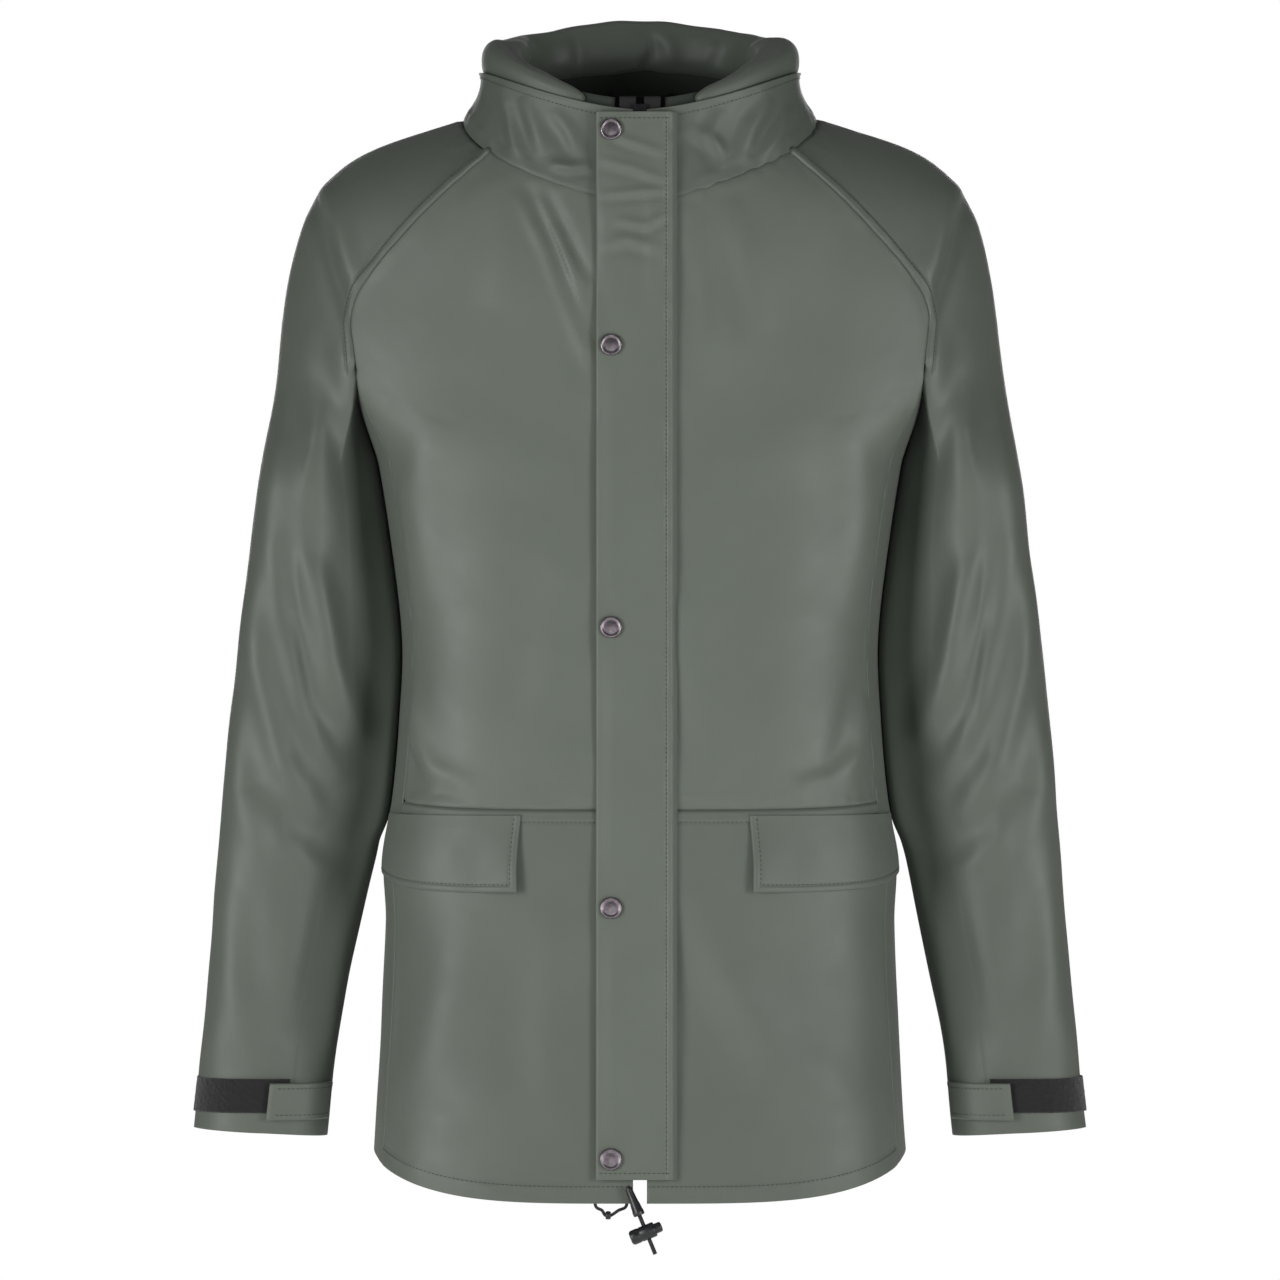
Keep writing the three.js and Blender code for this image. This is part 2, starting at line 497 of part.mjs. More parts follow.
// Lining of the collar, from the neck seam to the underside of the roll.
const liningSkin = (a, w) => {
  const b = Math.abs(a) - 90;
  const { out, up } = rollSize(b);
  const inward = vec(-Math.cos(rad(b)), -Math.sin(rad(b)), 0);
  const base = neckRing(b).addScaledVector(inward, CLOTH + 3.5 * FIT).add(vec(0, 0, 1));
  const top = rollCentre(b).addScaledVector(inward, out * 0.3).add(vec(0, 0, -up * 0.954 - 0.9));
  return base.lerp(top, w).multiply(vec(a < 0 ? -1 : 1, 1, 1));
};
add('collar_lining', sewn(panel(turnedRound(liningSkin), bothWays(collarColumns(ZIP.tapeOuter + 6)), steps(3),
  { thick: THIN })), LINING);

// Hanging loop inside the back of the neck.
const loopBase = (x) => {
  const b = 90 - Math.abs(x);
  return liningSkin(90 + b, 0.55).multiply(vec(Math.sign(x) || 1, 1, 1));
};
const LOOP_REACH = 9; // degrees each way from the middle of the back
add('hanging_loop', loft(steps(8, -LOOP_REACH, LOOP_REACH).map((x) => {
  const arch = 1 - (x / LOOP_REACH) ** 2;
  const p = loopBase(x).add(vec(0, -THIN - 2.9 - 5 * arch, -4 * arch));
  return [[0, 4], [0, -4], [-1.2, -4], [-1.2, 4]].map(([y, z]) => p.clone().add(vec(0, y, z)));
})), TAPE_BLACK);

// ---------------------------------------------------------------- zip, facings and storm flap
const tapeBack = -CLOTH - 0.85 - TAPE_THICK;
const toothMiddle = tapeBack + TAPE_THICK / 2;
const [toothBack, toothFront] = [toothMiddle - TOOTH_THICK / 2, toothMiddle + TOOTH_THICK / 2];
const teethEnd = ZIP.tapeEnd - 4;
for (const [name, side] of [['right', -1], ['left', 1]]) {
  const across = (a, b) => (side < 0 ? [-b, -a] : [a, b]);
  add(`zip_tape_${name}`, plate(...across(ZIP.toothOuter + 0.3, ZIP.tapeOuter), tapeBack, tapeBack + TAPE_THICK,
    ZIP.tapeTop, ZIP.tapeEnd), TAPE_BLACK, closure);
  add(`zip_teeth_${name}`, plate(...across(ZIP.toothInner, ZIP.toothOuter), toothBack, toothFront,
    SLIDER.top, teethEnd), BLACK_PLASTIC, closure);
}
add('zip_retaining_box', plate(-ZIP.toothOuter, ZIP.toothOuter, toothBack, toothFront, teethEnd + 0.3, teethEnd + 6),
  PEWTER, closure);

// Slider: two plates joined by the post that runs between the teeth, and the pin that carries the pull.
const postHalf = ZIP.toothInner - 0.35;
const plateFront = toothFront + 0.3;
const sliderEnd = SLIDER.top + SLIDER.length;
const pinAt = SLIDER.top + SLIDER.length / 2;
const pullBottom = plateFront + SLIDER.plate + 0.3;
const pinTop = pullBottom + PULL.thick + 0.3;
const pin = new THREE.CylinderGeometry(PULL.pin, PULL.pin, pinTop - plateFront - 0.4, 16);
pin.translate(0, -(pinTop + plateFront + 0.4) / 2, -pinAt);
const slider = [
  plate(-SLIDER.halfWidth, SLIDER.halfWidth, plateFront, plateFront + SLIDER.plate, SLIDER.top, sliderEnd),
  plate(-postHalf, postHalf, toothBack - 1, plateFront + 0.5, SLIDER.top, sliderEnd - 4),
  plate(-SLIDER.halfWidth, SLIDER.halfWidth, toothBack - 0.3 - SLIDER.plate, toothBack - 0.3, SLIDER.top, sliderEnd),
  pin,
].map(solid).reduce((whole, piece) => whole.add(piece));
add('zip_slider', geometryOf(slider), PEWTER, closure);

const pullShape = new THREE.Shape();
const pullHalf = PULL.width / 2;
pullShape.absarc(0, 0, pullHalf, 0, Math.PI);
pullShape.lineTo(-pullHalf, -PULL.length + pullHalf);
pullShape.absarc(0, -PULL.length + pullHalf, pullHalf, Math.PI, 2 * Math.PI);
pullShape.closePath();
pullShape.holes.push(new THREE.Path().absarc(0, 0, PULL.hole, 0, 2 * Math.PI));
const pull = new THREE.ExtrudeGeometry(pullShape, { depth: PULL.thick, bevelEnabled: false, curveSegments: 8 });
pull.rotateX(Math.PI / 2);
pull.translate(0, -pullBottom, -pinAt);
add('zip_pull', pull, PEWTER, closure);

// Inner flap behind the zip, sewn along the left tape.
const seamAt = tapeBack - 0.3;
const sliderBack = toothBack - 0.3 - SLIDER.plate;
const innerFace = sliderBack - 0.6;
const innerFlap = new THREE.Shape([[ZIP.tapeOuter, seamAt], [ZIP.tapeOuter - 3, seamAt],
  [ZIP.tapeOuter - 3, innerFace], [-ZIP.tapeOuter, innerFace], [-ZIP.tapeOuter, innerFace - 1.2],
  [ZIP.tapeOuter, innerFace - 1.2]].map(([x, n]) => new THREE.Vector2(x, -n)));
const innerFlapGeometry = new THREE.ExtrudeGeometry(innerFlap, { depth: ZIP.tapeEnd, bevelEnabled: false });
innerFlapGeometry.translate(0, 0, -ZIP.tapeEnd);
add('inner_storm_flap', innerFlapGeometry, LINING, closure);

const flapEnd = lengthTo(FLAP.bottomZ);
add('flap_seam_strip', plate(FLAP.sewn - 2, FLAP.sewn + 3, 0.35, FLAP.lift - FIT, 0, flapEnd), SHELL, closure);
add('storm_flap', plate(FLAP.free, FLAP.sewn, FLAP.lift, FLAP.lift + FLAP.thick, 0, flapEnd), SHELL, closure);

SNAP_Z.forEach((z, i) => {
  const place = (geometry, name, look) => {
    geometry.rotateX(Math.PI);
    geometry.translate(SNAP_X, 0, -lengthTo(z));
    add(`${name}_${i + 1}`, geometry, look, closure);
  };
  const outside = FLAP.lift + FLAP.thick + 0.3;
  const { capRadius: r, capHeight: h, baseRadius: b, postRadius: p, socketBore: bore } = SNAP;
  place(turned([[0, outside], [r - 0.8, outside], [r, outside + 0.9], [r - 0.7, outside + h],
    [r - 2.2, outside + h - 0.9], [0, outside + h - 0.4]], 20), 'snap_cap', PEWTER);
  const socketTop = FLAP.lift - 0.3;
  place(turned([[bore, socketTop - 1.6], [b, socketTop - 1.6], [b, socketTop], [bore, socketTop],
    [bore, socketTop - 1.6]], 16), 'snap_socket', PEWTER);
  const base = 0.35;
  place(turned([[0, base], [b, base], [b, base + 0.9], [p, base + 0.9], [p, socketTop - 0.6],
    [0, socketTop - 0.6]], 16), 'snap_stud', PEWTER);
});

// ---------------------------------------------------------------- pocket flaps
for (const { name, side, inner, outer } of POCKETS) {
  const skin = (s, v) => {
    const share = lerp(inner / halfWidth(POCKET.top), outer / halfWidth(-525), 1 - (1 - s) ** 1.6);
    const bottom = POCKET.bottom + POCKET.outerRise * s ** 3;
    const z = lerp(POCKET.top, bottom, v);
    const p = frontAt(share * halfWidth(z), z);
    return p.multiply(vec(side, 1, 1));
  };
  add(`pocket_flap_${name}`, sewn(panel(skin, steps(9), steps(3), { out: 2 * FIT + THIN, thick: THIN })), SHELL_LOW);
}

// ---------------------------------------------------------------- hem cord, its guard and lock
const hemBottom = HEM.side - HEM.frontDrop;
const cordTop = hemBottom + CORD_END.aboveHem;
const drawcord = new THREE.Group();
drawcord.position.set(CORD_END.x, frontY(cordTop) - CORD_END.proud, cordTop);
drawcord.rotation.y = -rad(CORD_END.tilt);
group.add(drawcord);
const tube = (points, radius, parts) => {
  const circle = new THREE.Shape().absarc(0, 0, radius, 0, 2 * Math.PI);
  return new THREE.ExtrudeGeometry(circle, {
    extrudePath: new THREE.CatmullRomCurve3(points), steps: parts, curveSegments: 4, bevelEnabled: false,
  });
};
add('drawcord_tail', tube([vec(0, 0, 0), vec(0, 0, -CORD_END.length)], CORD, 6), BLACK_PLASTIC, drawcord);
const guard = turned([[CORD + 0.3, -1], [CORD + 0.3, -GUARD.length], [GUARD.bottom, -GUARD.length],
  [GUARD.bottom, -GUARD.length + 4], [GUARD.top, -1], [CORD + 0.3, -1]], 20);
guard.rotateX(Math.PI / 2);
add('cord_guard', guard, BLACK_PLASTIC, drawcord);

const along = (r, from, to, segments = 24) => {
  const geometry = new THREE.CylinderGeometry(r, r, to - from, segments);
  geometry.rotateZ(Math.PI / 2);
  geometry.translate((from + to) / 2, 0, -LOCK.down);
  return geometry;
};
const upright = (r, height) => {
  const geometry = new THREE.CylinderGeometry(r, r, height, 16);
  geometry.rotateX(Math.PI / 2);
  geometry.translate(0, 0, -LOCK.down);
  return geometry;
};
const passage = CORD + 0.5;
const bodyOfLock = solid(along(LOCK.radius, LOCK.left, LOCK.right))
  .subtract(solid(along(LOCK.bore, LOCK.left + 3, LOCK.right + 1)))
  .subtract(solid(upright(passage, 20)));
add('cord_lock_body', geometryOf(bodyOfLock), BLACK_PLASTIC, drawcord);
const slot = new THREE.BoxGeometry(2 * passage + LOCK.travel, 2 * passage, 20);
slot.translate(LOCK.travel / 2, 0, -LOCK.down);
const button = solid(along(LOCK.button, LOCK.left + 3.6 + LOCK.travel, LOCK.right + LOCK.travel + 1))
  .subtract(solid(slot));
add('cord_lock_button', geometryOf(button), BLACK_PLASTIC, drawcord);

// Short loop of the same cord that hangs below the hem, with a bead on it.
const behind = frontY(hemBottom) + CLOTH + LOOP.radius + 0.9;
const mid = (LOOP.left + LOOP.right) / 2 - 2;
const beadZ = hemBottom - LOOP.drop;
add('cord_loop', tube([
  vec(LOOP.left - 1, behind, hemBottom + 8), vec(LOOP.left, behind, hemBottom - 2),
  vec((LOOP.left + mid) / 2, behind - 1, hemBottom - 5), vec(mid - 2, behind - 2, beadZ),
  vec(mid + 2, behind - 2, beadZ),
  vec((LOOP.right + mid) / 2 + 1, behind - 1, hemBottom - 5), vec(LOOP.right, behind, hemBottom - 2),
  vec(LOOP.right + 1, behind, hemBottom + 8)], LOOP.radius, 28), BLACK_PLASTIC);
const beadBore = LOOP.radius + 1;
const bead = turned([[beadBore, -2], [LOOP.bead - 0.6, -2], [LOOP.bead, -1], [LOOP.bead, 1],
  [LOOP.bead - 0.6, 2], [beadBore, 2], [beadBore, -2]], 16);
bead.rotateZ(Math.PI / 2);
bead.translate(mid, behind - 2, beadZ);
add('cord_bead', bead, BLACK_PLASTIC);

export default group;
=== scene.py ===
"""Men's waterproof jacket with raglan sleeves: the cloth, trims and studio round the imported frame.

Shapes are worked out in millimetres, in the row frame (+Z up, -Y out of the front, +X to the wearer's
left arm), and turned into metres when a mesh is made. The surfaces are those of the CAD panels.
"""
import math

import bpy
import numpy as np
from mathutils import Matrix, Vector


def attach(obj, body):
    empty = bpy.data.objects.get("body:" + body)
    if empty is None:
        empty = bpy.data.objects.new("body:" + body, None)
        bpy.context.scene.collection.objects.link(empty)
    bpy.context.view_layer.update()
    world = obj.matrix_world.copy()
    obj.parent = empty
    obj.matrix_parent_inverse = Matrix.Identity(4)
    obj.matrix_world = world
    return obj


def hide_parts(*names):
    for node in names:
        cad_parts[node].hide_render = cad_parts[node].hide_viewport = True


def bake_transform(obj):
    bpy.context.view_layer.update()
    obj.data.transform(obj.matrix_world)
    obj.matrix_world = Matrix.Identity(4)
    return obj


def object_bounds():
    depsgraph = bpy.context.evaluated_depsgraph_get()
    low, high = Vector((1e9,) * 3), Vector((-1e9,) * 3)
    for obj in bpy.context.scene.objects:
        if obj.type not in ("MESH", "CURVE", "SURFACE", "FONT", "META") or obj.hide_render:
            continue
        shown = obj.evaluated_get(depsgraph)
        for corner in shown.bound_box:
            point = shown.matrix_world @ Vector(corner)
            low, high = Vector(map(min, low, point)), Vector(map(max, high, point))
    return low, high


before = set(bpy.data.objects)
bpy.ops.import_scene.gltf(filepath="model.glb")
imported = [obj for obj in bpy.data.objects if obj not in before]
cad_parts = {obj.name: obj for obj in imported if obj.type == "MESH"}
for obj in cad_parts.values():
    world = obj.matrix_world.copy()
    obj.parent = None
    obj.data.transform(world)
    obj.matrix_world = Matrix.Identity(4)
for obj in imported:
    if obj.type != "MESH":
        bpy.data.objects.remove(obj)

CAD_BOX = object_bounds()

# ------------------------------------------------------------------ sizes shared with the CAD, in mm
CLOTH = 2.0
NECK = dict(half_width=131, front=105.2, back=75, front_z=-42, side_z=24, back_z=20, lame=2.4)
CHEST = dict(half_width=264.3, front=112.4, back=118, z=-166, lame=2.6)
SHOULDER_X, SHOULDER_Z, SHOULDER_R = 205, -100, 66
TORSO_LAME, CORNER = 4, 0.955
WAIST_SIDE, WAIST_DROP = -477, 9
HEM_SIDE, HEM_DROP, HEM_BACK_DROP = -736, 34, 10
FRONT_Y, FRONT_Z, FRONT_SLOPE = -101.5, 21, 0.0581
ZIP_HALF = 5
FLAP = dict(free=-32, sewn=24, bottom=-753, lift=3.8, thick=2.0)
SNAP_X, SNAP_Z = -21, (8, -149, -354, -557, -738)
POCKETS = {"right": (-1, 86, 187), "left": (1, 79, 187)}
POCKET_TOP, POCKET_BOTTOM, POCKET_RISE = -490, -546, 13
COLLAR = dict(front_top=23, side_top=55, back_top=68, half_width=118, back=72)
ROLL = dict(side=18, back=13, height=17, tip=3, tip_height=2.5)
TAPE_TOP, TAPE_BOTTOM = -684, -709
TAB_TOP, TAB_BOTTOM = -687, -714
ZIP = dict(inner=2.9, outer=15, top=-12, end=768, pitch=2.6, out=-CLOTH - 0.85 - 0.4)

# ------------------------------------------------------------------ sewing and folds, in mm
EDGE_STITCH = 5.2  # from a flap's edge to its stitches
RAISED_STITCH = 6.8  # from a raised seam to its stitches
HEM_STITCH = 13.3
WAIST_STITCH = 9
FOLD_DEPTH = 1.5
SLEEVE_CENTRE = (279.0, -30.0)  # a point inside the forearm, seen from above
SIDES = (("right", -1), ("left", 1))


# ------------------------------------------------------------------ camera
def camera():
    cam = bpy.data.objects.new("camera", bpy.data.cameras.new("camera"))
    bpy.context.scene.collection.objects.link(cam)
    middle = -0.363
    distance = 6.0
    cam.location = (0, -distance, middle)
    cam.rotation_euler = (math.pi / 2, 0, 0)
    cam.data.lens = 228
    cam.data.sensor_width = 36
    cam.data.dof.use_dof = False
    bpy.context.scene.camera = cam


# ------------------------------------------------------------------ numbers
def through(pairs, x):
    """Smooth value at x through a few (x, value) pairs, x falling from pair to pair."""
    px, py = np.array(pairs, float).T
    slope = np.array([(py[min(k + 1, len(px) - 1)] - py[max(k - 1, 0)])
                      / (px[min(k + 1, len(px) - 1)] - px[max(k - 1, 0)]) for k in range(len(px))])
    x = np.clip(np.asarray(x, float), px[-1], px[0])
    i = np.clip(np.searchsorted(-px, -x, side="right") - 1, 0, len(px) - 2)
    h = px[i + 1] - px[i]
    t = (x - px[i]) / h
    return ((2 * t**3 - 3 * t**2 + 1) * py[i] + (t**3 - 2 * t**2 + t) * slope[i] * h
            + (3 * t**2 - 2 * t**3) * py[i + 1] + (t**3 - t**2) * slope[i + 1] * h)


def smooth(x):
    x = np.clip(x, 0, 1)
    return x * x * (3 - 2 * x)


def lerp(a, b, t):
    return a + (b - a) * t


def lame(x, n):
    return np.maximum(0, 1 - np.abs(x) ** n) ** (1 / n)


def power(x, n):
    return np.sign(x) * np.abs(x) ** n


def stack(x, y, z):
    return np.stack(np.broadcast_arrays(x, y, z), axis=-1).astype(float)


def bisect(test, a, b):
    """Where test turns true between arrays a and b."""
    a, b = a.copy(), b.copy()
    for _ in range(40):
        m = (a + b) / 2
        hit = test(m)
        a, b = np.where(hit, a, m), np.where(hit, m, b)
    return (a + b) / 2


def fine_steps(length, coarse, fine, edge_a, edge_b):
    """0 to 1 along a length in mm, with spacing `fine` near the edges that carry a seam."""
    at, out = 0.0, [0.0]
    while at < length:
        near = min(at if edge_a else length, length - at if edge_b else length)
        at += fine if near < 11 else min(coarse, fine + (near - 11) * 0.5)
        out.append(at)
    return np.array(out) / out[-1]


# ------------------------------------------------------------------ body surfaces, x > 0
def front_y(z):
    return FRONT_Y - FRONT_SLOPE * (FRONT_Z - np.asarray(z, float))


def neck_ring(a):
    c, s = np.cos(np.radians(a)), np.sin(np.radians(a))
    middle, half = (NECK["back"] - NECK["front"]) / 2, (NECK["back"] + NECK["front"]) / 2
    z = np.where(s < 0, NECK["front_z"] + (NECK["side_z"] - NECK["front_z"]) * np.maximum(1 + s, 0) ** 0.62,
                 lerp(NECK["side_z"], NECK["back_z"], s))
    k = 2 / NECK["lame"]
    return stack(NECK["half_width"] * power(c, k), middle + half * power(s, k), z)


def shoulder_cut(x, radius=SHOULDER_R):
    return SHOULDER_Z - np.sqrt(np.maximum(0, radius**2 - (x - SHOULDER_X) ** 2))


def chest_ring(a):
    c, s = np.cos(np.radians(a)), np.sin(np.radians(a))
    x = CHEST["half_width"] * power(c, 2 / CHEST["lame"])
    y = np.where(s < 0, CHEST["front"], CHEST["back"]) * power(s, 2 / CHEST["lame"])
    return stack(x, y, np.where(x > SHOULDER_X, shoulder_cut(x), CHEST["z"]))


def yoke(a, t):
    a, t = np.broadcast_arrays(np.asarray(a, float), np.asarray(t, float))
    n, s = neck_ring(a), chest_ring(a)
    weight = np.abs(np.cos(np.radians(a))) ** 1.2

    def bezier(p, q):
        return 3 * (1 - t) ** 2 * t * p + 3 * (1 - t) * t**2 * q + t**3

    across = lerp(np.where(a < 0, t, 1 - (1 - t) ** 1.8), bezier(0.75, 0.87), weight)
    down = lerp(t, bezier(0.2, 0.2), weight)
    return stack(lerp(n[..., 0], s[..., 0], across), lerp(n[..., 1], s[..., 1], across),
                 lerp(n[..., 2], s[..., 2], down))


RAGLAN = [(60, 55), (20, 86), (0, 104), (-52, 159), (-104, 203), (-125, 211), (-150, 209), (-166, 207)]


def seam_angle(t, end):
    def past(f):
        p = yoke(end * f, t)
        return p[..., 0] < through(RAGLAN, p[..., 2])
    t = np.atleast_1d(np.asarray(t, float))
    return bisect(past, np.zeros_like(t), np.ones_like(t)) * end


def zip_angle(t):
    t = np.atleast_1d(np.asarray(t, float))
    return -bisect(lambda a: yoke(-a, t)[..., 0] < ZIP_HALF, np.full_like(t, 45), np.full_like(t, 90))


HALF_WIDTH = [(-166, 204), (-207, 196), (-285, 183), (-363, 174), (-420, 176), (-477, 181), (-525, 189),
              (-570, 187), (-644, 190), (-703, 194), (-770, 198)]
BACK_DEPTH = [(-166, 118), (-300, 122), (-480, 118), (-620, 128), (-770, 136)]


def half_width(z):
    return through(HALF_WIDTH, z)


def back_depth(z):
    return through(BACK_DEPTH, z)


def row_z(v, y):
    """Height of row v (1 chest, 2 waist, 3 hem) where the share of the body's depth is y."""
    waist = WAIST_SIDE - WAIST_DROP * np.maximum(0, -y) ** 2
    hem = HEM_SIDE - np.where(y < 0, HEM_DROP * np.abs(y) ** 3, HEM_BACK_DROP * y**2)
    return np.where(v < 2, lerp(CHEST["z"], waist, v - 1), lerp(waist, hem, v - 2))


def below(z):
    return smooth((CHEST["z"] - z) / 70)


def front_grid(s, v):
    """Points of the left front: s from the zip edge to the side panel, v 0 neck, 1 chest, 2 waist, 3 hem."""
    s, v = s[None, :], v[:, None]
    t = np.minimum(v, 1)
    a = lerp(zip_angle(t[:, 0])[:, None], seam_angle(t[:, 0], -90)[:, None], s)
    top = yoke(a, t)
    share = lerp(ZIP_HALF / CHEST["half_width"], CORNER, s)
    y = -lame(share, TORSO_LAME)
    z = row_z(v, y)
    k = below(z)
    low = share * half_width(z)
    low = lerp(low, ZIP_HALF + low - low[:, :1], smooth(1 - s / 0.2))
    body = stack(lerp(top[..., 0], low, k),
                 lerp(top[..., 1] * front_y(z) / front_y(CHEST["z"]), y * -front_y(z), k), z)
    return np.where((v < 1)[..., None], top, body)


def back_grid(s, v):
    side, size = np.sign(s)[None, :], np.abs(s)[None, :]
    v = v[:, None]
    t = np.minimum(v, 1)
    a = lerp(90, seam_angle(t[:, 0], 90)[:, None], size)
    top = yoke(a, t)
    share = CORNER * size
    y = lame(share, TORSO_LAME)
    z = row_z(v, y)
    k = below(z)
    body = stack(lerp(top[..., 0], share * half_width(z), k),
                 lerp(top[..., 1] * back_depth(z) / CHEST["back"], y * back_depth(z), k), z)
    out = np.where((v < 1)[..., None], top, body)
    out[..., 0] *= np.where(side == 0, 1, side)
    return out


def side_grid(s, v):
    f, b = yoke(seam_angle(1, -90), 1.0)[0], yoke(seam_angle(1, 90), 1.0)[0]
    corner = lame(CORNER, TORSO_LAME)
    s, v = s[None, :], v[:, None]
    y = lerp(-corner, corner, s)
    z = row_z(v, y)
    k = below(z)
    depth = np.where(y < 0, -front_y(z), back_depth(z))
    near_f, near_b = f[1] * front_y(z) / front_y(CHEST["z"]), b[1] * back_depth(z) / CHEST["back"]
    return stack(lerp(lerp(f[0], b[0], s), lame(y, TORSO_LAME) * half_width(z), k),
                 lerp(lerp(near_f, near_b, s), y * depth, k), z)


# ------------------------------------------------------------------ sleeve surface, x > 0
SLEEVE_OUTER = [(-129, 264.3), (-170, 269), (-259, 282), (-377, 296), (-496, 308), (-614, 318), (-673, 323),
                (-727, 329)]
SLEEVE_INNER = [(-166, 208.8), (-207, 199), (-285, 186), (-363, 177), (-420, 178.5), (-477, 184), (-525, 196),
                (-585, 209), (-644, 220), (-727, 230)]
SLEEVE_MIDDLE = [(-130, 2), (-207, 0), (-363, -8), (-496, -18), (-614, -26), (-727, -32)]
SLEEVE_DEPTH = [(-130, 98), (-207, 92), (-363, 75), (-496, 62), (-614, 48), (-727, 36)]
ARMPIT = 110


def arm_top(a):
    a = np.asarray(a, float)
    size = np.abs(a)
    end_f, end_b = seam_angle(1, -90)[0], seam_angle(1, 90)[0]
    end = np.where(a < 0, end_f, end_b)
    edge = np.where((a < 0)[..., None], yoke(end_f, 1.0), yoke(end_b, 1.0))
    p = chest_ring(end * np.minimum(1, size / ARMPIT))
    share = np.clip((size - ARMPIT) / (180 - ARMPIT), 0, 1)
    y = np.where(size > ARMPIT, lerp(edge[..., 1], 1, share), p[..., 1])
    return p[..., 0], y


def arm_points(a, z):
    k = smooth((CHEST["z"] - z) / 90)
    top_x, top_y = arm_top(a)
    c, s = np.cos(np.radians(a)), np.sin(np.radians(a))
    xo, xi = through(SLEEVE_OUTER, z), through(SLEEVE_INNER, z)
    x = (xo + xi) / 2 + (xo - xi) / 2 * power(c, 0.833)
    y = through(SLEEVE_MIDDLE, z) + through(SLEEVE_DEPTH, z) * power(s, 0.833)
    return stack(lerp(top_x, x, k), lerp(top_y, y, k), z)


def cuff_z(a):
    return -724 + 3 * np.cos(np.radians(a))


# ------------------------------------------------------------------ folds
def wave(p, size, seed=0):
    """Soft pseudo-random value in -1..1 at points p, with lumps about `size` mm across."""
    rng = np.random.default_rng(100 + seed)
    total = np.zeros(p.shape[:-1])
    for _ in range(9):
        d = rng.normal(size=3)
        d /= np.linalg.norm(d)
        k = 2 * math.pi / (size * rng.uniform(1.2, 2.6))
        total += np.sin(p @ d * k + rng.uniform(0, 6.28))
    return total / 4.2


def crease(p, line, height, width, skew=0.6):
    """A soft ridge along a line of (x, z) points seen from the front, with a valley on its right."""
    out = np.zeros(p.shape[:-1])
    line = np.array(line, float)
    lengths = np.linalg.norm(np.diff(line, axis=0), axis=1)
    starts = np.concatenate([[0], np.cumsum(lengths)])
    best = np.full(out.shape, 1e9)
    signed, along = np.zeros_like(out), np.zeros_like(out)
    for (ax, az), (bx, bz), start, length in zip(line, line[1:], starts, lengths):
        dx, dz = (bx - ax) / length, (bz - az) / length
        px, pz = p[..., 0] - ax, p[..., 2] - az
        t = np.clip(px * dx + pz * dz, 0, length)
        ex, ez = px - t * dx, pz - t * dz
        d = np.hypot(ex, ez)
        near = d < best
        best = np.where(near, d, best)
        signed = np.where(near, np.where(px * dz - pz * dx > 0, 1, -1) * d, signed)
        along = np.where(near, start + t, along)
    taper = np.sin(np.pi * np.clip(along / starts[-1], 0.001, 0.999)) ** 0.7
    ridge = hump(signed, 0, width) - skew * hump(signed, 1.7 * width, 1.1 * width)
    return height * taper * ridge


BODY_FOLDS = [
    ([(-84, -30), (-62, -76), (-36, -150)], -3.4, 4.5, 0.5),
    ([(-70, -34), (-54, -66), (-36, -104)], -2.6, 4.5, 0.6),
    ([(-64, -60), (-48, -110), (-35, -170)], 2.0, 6, 0.4),
    ([(-88, -36), (-96, -70), (-110, -120)], 1.2, 12),
    ([(64, -40), (78, -80), (92, -140)], 1.6, 12), ([(40, -46), (52, -110), (50, -180)], 1.3, 11),
    ([(-178, -380), (-163, -430), (-146, -474)], 2.6, 8),
    ([(-168, -430), (-152, -455), (-120, -470)], 1.6, 7),
    ([(172, -390), (160, -440), (150, -474)], 2.2, 8), ([(166, -440), (140, -462), (110, -472)], 1.4, 7),
    ([(36, -540), (70, -620), (112, -700)], 2.4, 20), ([(60, -600), (105, -660), (160, -700)], 1.4, 16),
    ([(-126, -556), (-140, -620), (-158, -690)], 2.0, 18),
    ([(-60, -560), (-66, -640), (-60, -720)], 1.3, 16),
    ([(30, -330), (46, -400), (60, -470)], 1.3, 16), ([(-50, -300), (-60, -380), (-80, -460)], 1.2, 18),
    ([(-150, -200), (-168, -260), (-160, -340)], 2.0, 15),
    ([(150, -200), (166, -270), (160, -350)], 2.0, 15),
]
SLEEVE_FOLDS = [
    ([(250, -22), (234, -56), (226, -90), (212, -132)], -3.6, 7, 0.5),
    ([(236, -24), (221, -60), (213, -100)], 2.2, 10, 0.2),
    ([(250, -110), (256, -210), (253, -320), (240, -410), (218, -480)], -4.6, 15, 0.15),
    ([(262, -90), (252, -150), (240, -220)], 1.2, 14), ([(238, -140), (226, -190), (212, -262)], -2.4, 10),
    ([(262, -210), (254, -290), (226, -372)], 2.4, 13),
    ([(290, -300), (280, -380), (262, -450), (232, -500)], 3.2, 10),
    ([(272, -280), (262, -350), (244, -420), (218, -470)], 3.0, 9),
    ([(240, -300), (226, -380), (206, -440)], 3.2, 10),
    ([(304, -400), (296, -470), (276, -530)], 1.8, 10), ([(284, -470), (262, -510), (226, -540)], 2.4, 11),
    ([(236, -520), (252, -580), (266, -650)], 1.8, 14), ([(304, -540), (300, -610), (288, -672)], 1.6, 12),
]


def pucker(p, d, reach=7.0, height=0.45):
    """Small gathers across a seam, d mm away."""
    return height * wave(p, 8, 21) * np.exp(-(d / reach))


